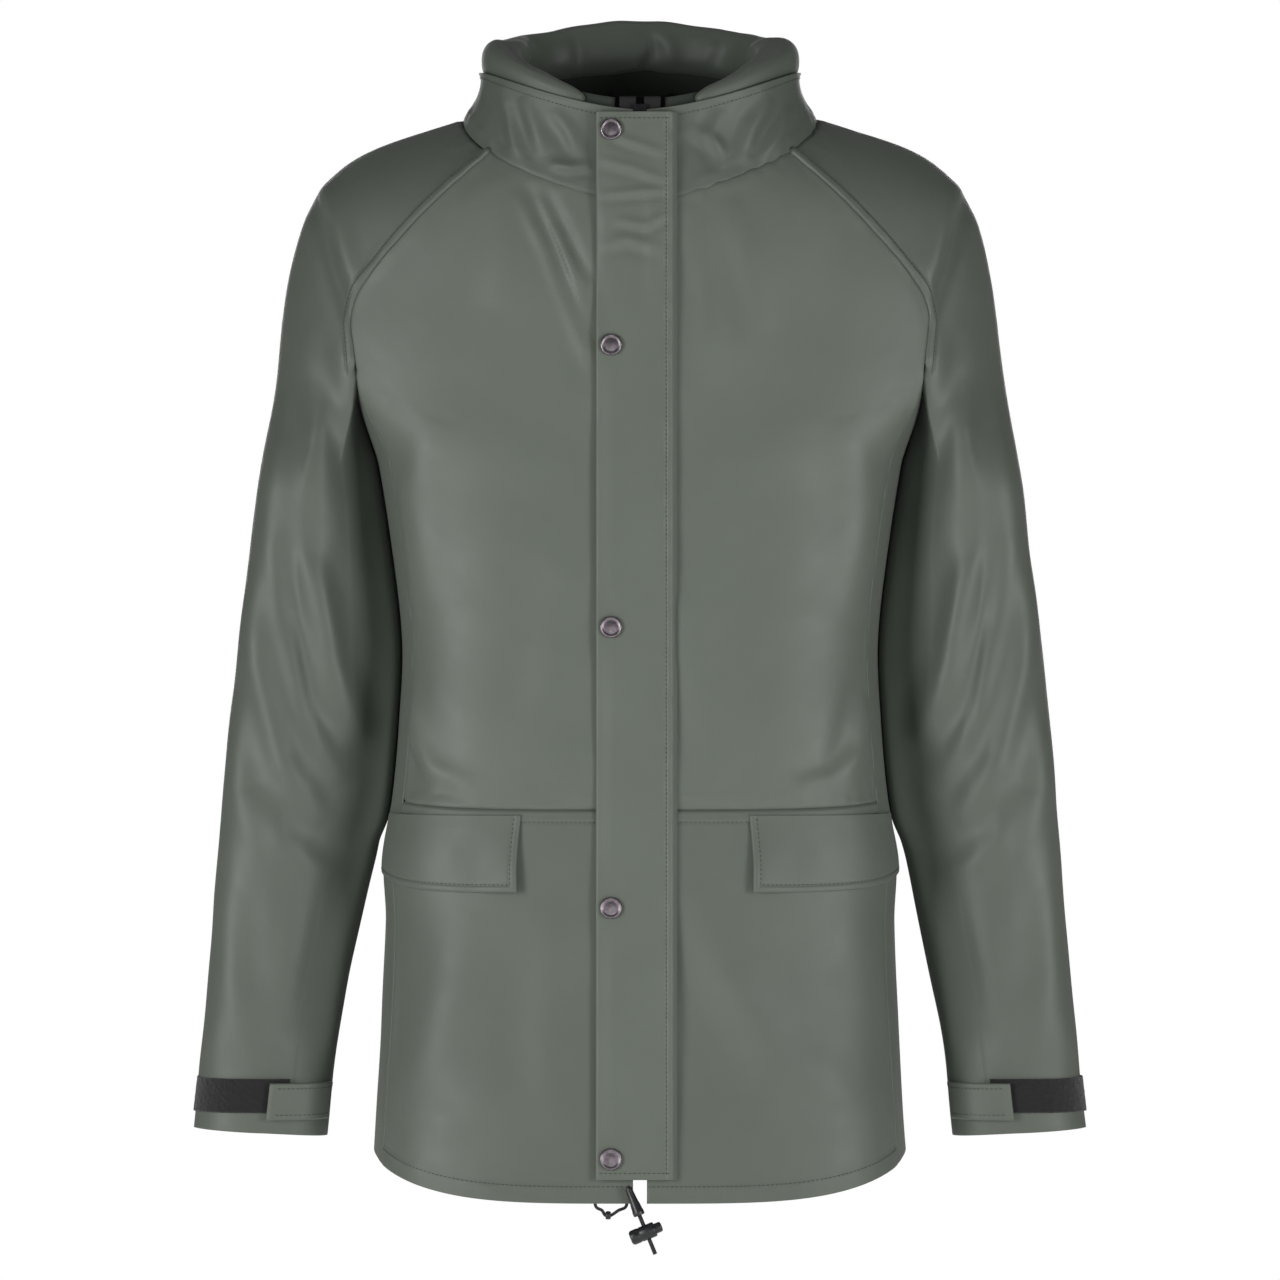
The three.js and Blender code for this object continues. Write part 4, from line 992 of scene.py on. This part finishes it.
    q, m_ = cuff(f"tab_{word}", -162, -93, TAB_TOP, TAB_BOTTOM, tab_lift, 1.6, SHELL_LOW, f"cuff_tab_{word}",
                 "lower_shell", f"cuff_tab_{word}", 80, tab_shape)
    for label, row in (("top", 3), ("bottom", 18)):
        stitches(f"stitch_tab_{label}_{word}", q[row, 4:-6], m_[row, 4:-6], f"cuff_tab_{word}", "lower_shell")


# ------------------------------------------------------------------ collar
def collar_top(a):
    c, s = np.cos(np.radians(a)), np.sin(np.radians(a))
    x = power(c, 2 / NECK["lame"])
    front = -front_y(COLLAR["front_top"])
    middle, half = (COLLAR["back"] - front) / 2, (COLLAR["back"] + front) / 2
    z = np.where(s < 0, lerp(COLLAR["front_top"], COLLAR["side_top"], np.abs(x) ** 1.6),
                 lerp(COLLAR["side_top"], COLLAR["back_top"], s**2))
    return stack(COLLAR["half_width"] * x, middle + half * power(s, 2 / NECK["lame"]), z)


def collar_grid(a, w):
    """Outer face of the collar: a from -180 to 180 round the neck, 0 the back, w up from the neck seam."""
    size = 180 - np.abs(a)[None, :]
    w = w[:, None]
    n, t = neck_ring(size - 90), collar_top(size - 90)
    inward = lerp(w, 1 - (1 - w) ** 2.4, np.minimum(1, n[..., 0] / 60))
    p = stack(lerp(n[..., 0], t[..., 0], inward), lerp(n[..., 1], t[..., 1], inward),
              lerp(n[..., 2] + 0.5, t[..., 2], w))
    p[..., 0] *= np.where(a < 0, -1, 1)[None, :]
    return p


def roll_size(a):
    s = np.sin(np.radians(a))
    m = np.where(s < 0, np.maximum(1 + s, 0) ** 0.6, 1)
    out = np.where(s < 0, lerp(ROLL["tip"], ROLL["side"], m), lerp(ROLL["side"], ROLL["back"], s**2))
    return out, lerp(ROLL["tip_height"], ROLL["height"], m)


def ring_out(a):
    """Level direction out of the neck at angle a."""
    return stack(np.cos(np.radians(a)), np.sin(np.radians(a)), 0 * np.asarray(a, float))


def roll_centre(a):
    out, up = roll_size(a)
    p = collar_top(a) - ring_out(a) * (out + CLOTH)[..., None]
    p[..., 2] += up * 0.53
    return p


def edge_angle(x, limit):
    """Angle from the middle of the back to where the front edge is x mm from the middle."""
    return 180 - bisect(lambda a: neck_ring(a - 90)[..., 0] > x, np.array([0.0]), np.array([limit]))[0]


edge = edge_angle(ZIP_HALF + 0.5, 30.0)
a = np.linspace(-edge, edge, 320)
w = fine_steps(46, 1.6, 0.7, True, True)
p = collar_grid(a, w)
n = outward(p, normals_of(p), (0, -15))
down, up = both_ways(p, 0)
COLLAR_FOLDS = [
    ([(-104, 46), (-96, 22), (-92, -2), (-84, -16)], 2.2, 5), ([(-86, 34), (-78, 14), (-70, -10)], 1.8, 6),
    ([(-66, -16), (-50, -19), (-36, -17)], 1.7, 4), ([(-64, 24), (-52, 8), (-42, -12)], 1.4, 5),
    ([(112, 30), (104, 12), (88, -16)], 2.2, 5), ([(96, 34), (82, 12), (72, -16)], 1.9, 6),
    ([(34, 12), (50, 2), (66, -10)], 1.5, 5), ([(60, 24), (52, 6), (60, -20)], 1.4, 5)]
front = smooth(-n[..., 1] + 0.3)
lift = 0.9 * wave(p, 40, 5) + 1.3 * sum(front * crease(p, *fold) for fold in COLLAR_FOLDS)
lift += pucker(p, down, 9, 0.9)
lift = lift * smooth(down / 8) * smooth(up / 8 + 0.2) + seam_profile(down) + 0.9 * hump(up, 0, 2.2)
p[..., 2] -= 3.5 * (1 - smooth(down / 7))  # its foot reaches into the shoulder seam
# the collar's outer face is in the collar cloth with painted shade
stand = cloth("collar", p, n, lift, thick=1.4, face=STAND_PAINTED_SHADE, lining=LINING)
ride(stand, "torso", "shell", "collar_stand")
q = p + n * lift[..., None]
i = nearest(up[:, 160], 5)
stitches("stitch_collar_top", q[i], n[i], "torso", "shell")

# hood rolled up inside the collar
angle = np.linspace(-73, 253, 340)
folded = np.where(angle > 90, 180 - angle, angle)
side = np.where(angle > 90, -1, 1)
b = np.linspace(0, 2 * math.pi, 56, endpoint=False)
centre = roll_centre(folded)
out, up_ = roll_size(folded)
outward_dir = ring_out(folded)
full = np.minimum(1, out / 12)
to_end = np.minimum(angle + 73, 253 - angle) / 7
taper = np.sqrt(np.maximum(0.02, 1 - np.maximum(0, 1 - to_end) ** 2))
out, up_ = out * taper, up_ * taper
centre = centre + outward_dir * (1.0 * full)[:, None]
wide = np.abs(centre[:, 0])
raised = 2.6 * (1 - smooth(wide / 90)) * smooth(np.sin(np.radians(angle)) * 2)
centre[:, 2] += raised
up_ = up_ + raised + 0.6
cx, cz = power(np.cos(b), 0.8), power(np.sin(b), 0.85)
p = centre[:, None] + outward_dir[:, None] * (out[:, None] * cx[None])[..., None]
p[..., 2] += up_[:, None] * cz[None]
p[..., 0] *= side[:, None]
n = outward_dir[:, None] * np.cos(b)[None, :, None] + np.array([0, 0, 1.0]) * np.sin(b)[None, :, None]
n[..., 0] *= side[:, None]
inside = smooth(0.75 - np.cos(b)[None])
ROLL_FOLDS = [([(-106, 84), (-90, 66), (-72, 44)], -2.6, 5),
              ([(-96, 90), (-80, 74), (-66, 60)], 1.8, 6), ([(-112, 66), (-96, 50), (-76, 38)], 1.4, 5),
              ([(-50, 92), (-44, 76), (-46, 60)], -1.8, 6), ([(6, 94), (10, 78), (4, 58)], -2.6, 5),
              ([(14, 94), (22, 80), (26, 62)], 1.6, 6),
              ([(60, 92), (62, 76), (54, 60)], -1.8, 6), ([(84, 88), (80, 72), (70, 56)], 2.0, 6),
              ([(104, 80), (96, 62), (78, 44)], -1.8, 6)]
lumps = 0.9 * wave(p * np.array([1, 1, 0.35]), 22, 7) + sum(crease(p, *fold) for fold in ROLL_FOLDS)
lift = wave(p, 60, 9) + inside * lumps
q = p + n * (lift * full[:, None])[..., None]
idx = numbered(q)
right = np.roll(idx, -1, 1)
quads = np.stack([idx[:-1], right[:-1], right[1:], idx[1:]], -1).reshape(-1, 4)
caps = [idx[0].tolist(), idx[-1][::-1].tolist()]
# the rolled hood is also in the collar cloth with painted shade
roll = mesh_object("rolled_hood", q.reshape(-1, 3), quads[:, ::-1].tolist() + caps, flat_uv(p), [STAND_PAINTED_SHADE])
ride(roll, "torso", "shell", "hood_roll")

# collar lining
def lining_edges(size, foot, head):
    """The lining's lower and upper edge at ring angles `size`, raised by foot and head mm."""
    inward = -ring_out(size)
    out, up = roll_size(size)
    low = neck_ring(size) + inward * (CLOTH + 1.4) + np.array([0, 0, foot])
    high = roll_centre(size) + inward * (out * 0.3)[:, None]
    high[:, 2] -= up * 0.954 - head
    return low, high


edge = edge_angle(21, 40.0)
a = np.linspace(-edge, edge, 240)
base, top = lining_edges(90 - np.abs(a), -8.0, 9.0)
w = np.linspace(0, 1, 26)[:, None, None]
p = lerp(base[None], top[None], w)
p[..., 0] *= np.where(a < 0, -1, 1)[None]
n = outward(p, normals_of(p), (0, -15))
lift = 0.5 * (wave(p, 30, 11) - 1) * smooth(w[..., 0] * 4) * smooth((1 - w[..., 0]) * 4)
lining = cloth("neck_lining", p, n, -0.3 + lift, thick=1.2, face=LINING)
ride(lining, "torso", "dark_lining", "collar_lining")


# ------------------------------------------------------------------ front closure
TILT = math.atan(FRONT_SLOPE)


def closure(x, n, s):
    """Closure frame to row frame: x across, n out of the front, s down from the top."""
    x, n, s = np.broadcast_arrays(np.asarray(x, float), np.asarray(n, float), np.asarray(s, float))
    c, t = math.cos(TILT), math.sin(TILT)
    return stack(x, FRONT_Y - n * c - s * t, FRONT_Z + n * t - s * c)


OUT = np.array([0, -math.cos(TILT), math.sin(TILT)])


def front_strip(name, x, s, lift, thick, face):
    """A sheet in the closure frame, at a height `lift` that is a number or a function of x and s."""
    gx, gs = np.meshgrid(x, s)
    height = lift(gx, gs) if callable(lift) else lift
    normal = np.broadcast_to(OUT, gx.shape + (3,))
    return cloth(name, closure(gx, 0, gs), normal, height, thick=thick, face=face)


flap_length = (FRONT_Z - FLAP["bottom"]) * math.hypot(1, FRONT_SLOPE)
snap_s = [(FRONT_Z - z) * math.hypot(1, FRONT_SLOPE) for z in SNAP_Z]
x = lerp(FLAP["free"], FLAP["sewn"], fine_steps(56, 1.6, 0.7, True, True))
s = flap_length * fine_steps(flap_length, 2.4, 0.8, True, True)
gx, gs = np.meshgrid(x, s)
flat = closure(gx, 0, gs)
mid_n = FLAP["lift"] + FLAP["thick"]
free = gx - FLAP["free"]
sewn_edge = FLAP["sewn"] - gx
near_snap = sum(hump(gs, a, 26) for a in snap_s)
loose = 1 - np.minimum(1, near_snap)
sag = -1.7 * loose * smooth(1 - free / 14)
ripple = 0.55 * np.sin(gs / 37 + 1.2 * np.sin(gs / 90)) * smooth(1 - free / 30) * loose
FLAP_FOLDS = [
    ([(-31, 10), (-10, 0), (20, -10)], 1.5, 3.0), ([(-31, -14), (-6, -20), (22, -30)], 1.5, 3.4),
    ([(-31, -40), (-6, -38), (21, -36)], 1.6, 2.8), ([(-20, -58), (4, -62), (21, -54)], 1.6, 3.2),
    ([(-31, -78), (-10, -72), (18, -80)], 1.3, 4), ([(-31, -20), (-26, -60), (-27, -110)], 0.8, 5),
    ([(6, -20), (10, -60), (8, -120)], 0.8, 5)]
lift = mid_n + sag + ripple + 0.25 * wave(flat, 60, 12) + sum(crease(flat, *fold) for fold in FLAP_FOLDS)
lift -= sum(0.8 * hump(np.hypot(gx - SNAP_X, gs - a), 0, 11) * 0.6 for a in snap_s)
lift += -0.5 * hump(sewn_edge, EDGE_STITCH, 1.0) + 0.35 * smooth(1 - (sewn_edge - 3.8) / 1.2)
lift -= 0.8 * hump(free, 0, 0.8) + 0.6 * hump(sewn_edge, 0, 0.8)
lift += pucker(flat, np.abs(sewn_edge - 3), 6, 0.45) + pucker(flat, gs, 12, 0.5)
lift = np.minimum(lift, mid_n + 1.5)
n = np.broadcast_to(OUT, flat.shape)
flap = cloth("front_flap", flat, n, lift, thick=1.6, face=SHELL)
ride(flap, "storm_flap", "shell", "storm_flap")
q = flat + n * lift[..., None]
j = nearest(FLAP["sewn"] - x, EDGE_STITCH)
stitches("stitch_flap", q[4:-4, j], n[4:-4, j], "storm_flap", "shell")
for label, i in (("top", 6), ("bottom", len(s) - 7)):
    stitches(f"stitch_flap_{label}", q[i, 3:-3], n[i, 3:-3], "storm_flap", "shell")
strip = front_strip("flap_seam", np.linspace(FLAP["sewn"] - 2, FLAP["sewn"] + 3, 9), s,
                    lambda gx, gs: 3.2 - 2.6 * smooth((gx - FLAP["sewn"]) / 3.0), 1.2, SHELL)
ride(strip, "torso", "shell", "flap_seam_strip")


def snap_place(s0):
    """Puts a turned outline on the closure, s0 down it."""
    return lambda points: closure(points[:, 0] + SNAP_X, points[:, 2], s0 - points[:, 1])


cap_base = mid_n + 0.3
CAP_OUTLINE = [(0.01, -0.6), (5.5, -0.6), (7.4, -0.3), (7.9, 0.3), (8.0, 0.9), (7.85, 1.6), (7.4, 2.1),
               (6.8, 2.3), (6.2, 2.15), (5.8, 1.7), (5.5, 1.55), (4.5, 1.7), (3.0, 1.95), (1.5, 2.05),
               (0.01, 2.1)]


def keep_cad(node, material):
    """Shows a CAD node as it is, in a material."""
    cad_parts[node].data.materials.clear()
    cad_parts[node].data.materials.append(material)


for i, s0 in enumerate(snap_s, 1):
    outline = [(r, cap_base + h) for r, h in CAP_OUTLINE]
    cap = turned(f"cap_{i}", outline, snap_place(s0), PEWTER)
    ride(cap, "storm_flap", "pewter_metal", f"snap_cap_{i}")
    keep_cad(f"snap_socket_{i}", PEWTER)
    keep_cad(f"snap_stud_{i}", PEWTER)

# zip: two rows of teeth on woven tapes
for word, side in SIDES:
    tape = front_strip(f"tape_{word}", side * np.linspace(ZIP["inner"], ZIP["outer"], 14),
                       np.linspace(ZIP["top"], ZIP["end"], 300), ZIP["out"] + 0.35, 0.7, WEBBING)
    ride(tape, "torso", "black_tape", f"zip_tape_{word}")
    verts, faces = [], []
    for k in range(int(ZIP["end"] / ZIP["pitch"])):
        s0 = -5 + k * ZIP["pitch"] + (ZIP["pitch"] / 2 if side > 0 else 0)
        for across, half_n, half_s in ((0.8, 2.6), 1.5, 0.62), ((2.2, 3.1), 1.1, 0.8):
            base = len(verts)
            for xx in across:
                for nn in (-half_n, half_n):
                    for ss in (-half_s, half_s):
                        verts.append(closure(side * xx, ZIP["out"] + nn, s0 + ss))
            for f in ((0, 1, 3, 2), (4, 6, 7, 5), (0, 4, 5, 1), (2, 3, 7, 6), (0, 2, 6, 4), (1, 5, 7, 3)):
                faces.append([base + i for i in (f if side > 0 else f[::-1])])
    teeth = mesh_object(f"teeth_{word}", verts, faces, None, [BLACK])
    ride(teeth, "torso", "black_plastic", f"zip_teeth_{word}")

for node in ("zip_slider", "zip_pull", "zip_retaining_box"):
    keep_cad(node, GUNMETAL)


def facing_lift(gx, gs):
    """Flat behind the zip, up to the tape along its sewn side, and slightly wavy on the free side."""
    loose = smooth((ZIP["outer"] + gx) / 8)
    return -7.35 + 3.1 * smooth((gx - 11.2) / 2.8) - 0.3 * smooth(wave(closure(gx, 0, gs), 26, 14)) * loose


facing = front_strip("inner_facing", np.linspace(-ZIP["outer"], ZIP["outer"], 24),
                     np.linspace(0, ZIP["end"], 320), facing_lift, 1.1, LINING)
ride(facing, "torso", "dark_lining", "inner_storm_flap")

# hanging loop: a short strap arched off the neck lining
b = np.linspace(-9, 9, 40)
low, high = lining_edges(90 - np.abs(b), 1.0, -0.9)
mid_line = lerp(low, high, 0.55)
mid_line[:, 0] *= np.sign(b)
arch = 1 - (b / 9) ** 2
mid_line += stack(0 * b, -4.6 - 5 * arch, -4 * arch)
across = np.linspace(4, -4, 12)
strap = mid_line[None] + np.array([0, 0, 1.0]) * across[:, None, None]
n = np.broadcast_to(np.array([0, -1.0, 0]), strap.shape)
edge_in = 0.25 * np.exp(-((4 - np.abs(across)) / 0.7) ** 2)[:, None]
loop = cloth("hanging_strap", strap, n, 1.1 - edge_in + 0 * strap[..., 0], thick=1.0, face=WEBBING)
ride(loop, "torso", "black_tape", "hanging_loop")

# pocket bags
for word, side in SIDES:
    s_, v_ = np.linspace(0.46, 0.91, 40), np.linspace(2.036, 2.772, 50)
    p = mirrored(front_grid(s_, v_), side)
    n = outward(p, normals_of(p))
    share_a, share_b = np.linspace(0, 1, 40)[None], np.linspace(0, 1, 50)[:, None]
    deep = np.minimum(1, 6 * share_a * (1 - share_a)) * np.minimum(1, 7 * share_b * (1 - share_b))
    lift = -3.3 - 16 * smooth(deep) - 0.5 * (1 + wave(p, 40, 15)) * deep
    bag = cloth(f"bag_{word}", p, n, lift, thick=1.0, face=LINING)
    ride(bag, "torso", "dark_lining", f"pocket_bag_{word}")

# ------------------------------------------------------------------ pocket flaps
for word, (side, inner, outer) in POCKETS.items():
    u = fine_steps(125, 2.0, 0.8, True, True)
    v = fine_steps(56, 1.6, 0.8, True, True)
    gu, gv = np.meshgrid(u, v)
    share = lerp(inner / half_width(POCKET_TOP), outer / half_width(-525), 1 - (1 - gu) ** 1.6)
    bottom = POCKET_BOTTOM + POCKET_RISE * gu**3
    z = lerp(POCKET_TOP, bottom, gv)
    x = share * half_width(z)
    p = mirrored(stack(x, front_y(z) * lame(x / half_width(z), TORSO_LAME), z), side)
    n = outward(p, normals_of(p))
    a, b = both_ways(p, 1)
    down, up = both_ways(p, 0)
    rim = np.minimum(np.minimum(a, up), b)
    lift = 2.6 - 0.45 * hump(rim, EDGE_STITCH, 0.9) + 0.3 * smooth(1 - (rim - 4.0) / 1.0)
    lift -= 0.9 * hump(rim, 0, 0.9)
    lift += 5.0 * smooth(1 - a / 34) * smooth(down / 50) + 0.5 * wave(p, 34, 13) * smooth(down / 12)
    flap = cloth(f"flap_{word}", p, n, lift, thick=1.5, face=SHELL_LOW)
    ride(flap, f"pocket_flap_{word}", "lower_shell", f"pocket_flap_{word}")
    q = p + n * lift[..., None]
    j = nearest(a[len(v) // 2], EDGE_STITCH)
    i = nearest(up[:, len(u) // 2], EDGE_STITCH)
    path = np.concatenate([q[2:i, j], q[i, j:-3]])
    norm = np.concatenate([n[2:i, j], n[i, j:-3]])
    stitches(f"stitch_pocket_{word}", path, norm, f"pocket_flap_{word}", "lower_shell")

# ------------------------------------------------------------------ hem cord
CORD_AT, CORD_TILT, CORD_LENGTH, CORD_R = np.array([-9, -151.4, -757.0]), math.radians(22.2), 53, 1.5
down_cord = np.array([math.sin(CORD_TILT), 0, -math.cos(CORD_TILT)])
across_cord = np.array([math.cos(CORD_TILT), 0, math.sin(CORD_TILT)])
FRONTWARD = np.array([0, -1.0, 0])


def on_cord(points):
    """Guard frame: turned outlines stand along the cord."""
    return (CORD_AT + points[:, :1] * across_cord + points[:, 1:2] * FRONTWARD + points[:, 2:3] * -down_cord)


def on_lock(points):
    """Lock frame: turned outlines lie across the cord, 36 mm down it."""
    return (CORD_AT + 36 * down_cord + points[:, 2:3] * across_cord + points[:, :1] * FRONTWARD
            + points[:, 1:2] * down_cord)


def with_edges(name, outline, place, sides=40):
    """A turned, hollow-ended plastic piece with its edges rounded."""
    obj = turned(name, outline, place, BLACK, sides)
    soft = obj.modifiers.new("edges", "BEVEL")
    soft.width, soft.segments, soft.limit_method, soft.angle_limit = 0.0003, 2, "ANGLE", math.radians(35)
    return obj


path = CORD_AT + down_cord * np.linspace(0, CORD_LENGTH, 24)[:, None]
tail = tube("hem_cord_tail", path, CORD_R, 16, BRAID)
ride(tail, "drawcord", "black_plastic", "drawcord_tail")
guard = with_edges("guard_cone", [
    (1.75, -22.6), (3.9, -22.8), (4.2, -22.2), (4.2, -19.4), (3.9, -18.9), (3.5, -14), (3.3, -13.6),
    (3.3, -12.8), (3.1, -12.4), (2.5, -3), (2.2, -1.4), (1.75, -1.2)], on_cord)
ride(guard, "drawcord", "black_plastic", "cord_guard")
lock = with_edges("lock_barrel", [
    (0.01, -12.4), (3.6, -12.3), (4.9, -11.6), (5.4, -10.4), (5.45, -6), (5.1, -5.4), (5.1, -4.6), (5.45, -4),
    (5.45, 5.6), (5.2, 6.7), (4.25, 6.9), (4.15, 6.6), (4.15, -9.2), (0.01, -9.3)], on_lock)
ride(lock, "cord_lock", "black_plastic", "cord_lock_body")
button = with_edges("lock_button", [
    (0.01, -4.8), (3.75, -4.8), (3.75, 10.4), (3.4, 11.5), (2.2, 11.9), (0.01, 12.0)], on_lock)
ride(button, "cord_button", "black_plastic", "cord_lock_button")

hem_bottom = HEM_SIDE - HEM_DROP
behind = float(front_y(hem_bottom)) + CLOTH + 1.2 + 0.9
middle, bead_z = -23.0, hem_bottom - 8.5
knots = np.array([(-33, behind, hem_bottom + 8), (-32, behind, hem_bottom - 2),
                  ((-32 + middle) / 2, behind - 1, hem_bottom - 5),
                  (middle - 2, behind - 2, bead_z), (middle + 2, behind - 2, bead_z),
                  ((-10 + middle) / 2 + 1, behind - 1, hem_bottom - 5),
                  (-10, behind, hem_bottom - 2), (-9, behind, hem_bottom + 8)])
ends = np.concatenate([[2 * knots[0] - knots[1]], knots, [2 * knots[-1] - knots[-2]]])
line = []
for k in range(len(knots) - 1):
    a0, a1, a2, a3 = ends[k:k + 4]
    for q in np.linspace(0, 1, 9)[:-1]:
        squared, cubed = 2 * a0 - 5 * a1 + 4 * a2 - a3, 3 * a1 - a0 - 3 * a2 + a3
        line.append(0.5 * (2 * a1 + (a2 - a0) * q + squared * q**2 + cubed * q**3))
line = np.array(line + [knots[-1]])
hem_loop = tube("hem_cord_loop", line, 1.15, 14, BRAID)
ride(hem_loop, "torso", "black_plastic", "cord_loop")


def on_loop(points):
    return np.array([middle, behind - 2, bead_z]) + np.stack([points[:, 2], points[:, 0], points[:, 1]], -1)


bead = with_edges("loop_bead", [
    (1.9, -1.9), (2.5, -1.95), (3.0, -1.0), (3.05, 0), (3.0, 1.0), (2.5, 1.95), (1.9, 1.9)], on_loop)
ride(bead, "torso", "black_plastic", "cord_bead")

# ------------------------------------------------------------------ studio
def area_light(name, at, aim, size, energy, colour=(1, 1, 1)):
    light = bpy.data.objects.new(name, bpy.data.lights.new(name, "AREA"))
    light.data.shape = "RECTANGLE"
    light.data.size, light.data.size_y = size
    light.data.energy = energy
    light.data.color = colour
    light.location = at
    direction = np.array(aim, float) - np.array(at, float)
    light.rotation_euler = Vector(direction).to_track_quat("-Z", "Y").to_euler()
    bpy.context.scene.collection.objects.link(light)


area_light("key", (-2.5, -2.5, -0.25), (0, 0, -0.4), (1.1, 1.7), 84)
area_light("fill", (2.5, -2.5, -0.45), (0, 0, -0.4), (1.1, 1.7), 74)
area_light("front", (0.2, -4.2, -0.7), (0, 0, -0.4), (1.4, 1.4), 14)
area_light("top", (0, -0.4, 2.2), (0, 0, -0.2), (1.8, 1.4), 5)
area_light("back", (0, 3.4, 0.3), (0, 0, -0.4), (2.6, 1.4), 60)
world = bpy.data.worlds.new("studio")
world.use_nodes = True
surround = world.node_tree.nodes["Background"]
surround.inputs["Color"].default_value = (1, 1, 1, 1)
seen = world.node_tree.nodes.new("ShaderNodeLightPath")
level = world.node_tree.nodes.new("ShaderNodeMapRange")
level.inputs["To Min"].default_value = 0.09
level.inputs["To Max"].default_value = 1.0
world.node_tree.links.new(seen.outputs["Is Camera Ray"], level.inputs["Value"])
world.node_tree.links.new(level.outputs["Result"], surround.inputs["Strength"])
bpy.context.scene.world = world

floor_z = CAD_BOX[0][2] * 1000 - 75
grid_x, grid_y = np.linspace(-1500, 1500, 9), np.linspace(-1900, 420, 9)
verts = [(x, y, floor_z) for y in grid_y for x in grid_x]
squares = [[9 * r + c, 9 * r + c + 1, 9 * r + c + 10, 9 * r + c + 9] for r in range(8) for c in range(8)]
floor = mesh_object("floor", verts, squares)
paper = Nodes("paper")
fibres = paper.noise(paper.add("ShaderNodeTexCoord"), "Object", 60, 4, 0.6)
pale = paper.ramp(fibres, "Fac", [(0.3, (0.82, 0.82, 0.82, 1)), (0.7, (0.88, 0.88, 0.88, 1))])
paper.link(pale, "Color", paper.shader, "Base Color")
paper.shader.inputs["Roughness"].default_value = 0.9
paper.shader.inputs["Emission Color"].default_value = (1, 1, 1, 1)
paper.shader.inputs["Emission Strength"].default_value = 0.58
floor.data.materials.append(paper.material)

scene = bpy.context.scene
scene.view_settings.view_transform = "Standard"
scene.view_settings.look = "None"
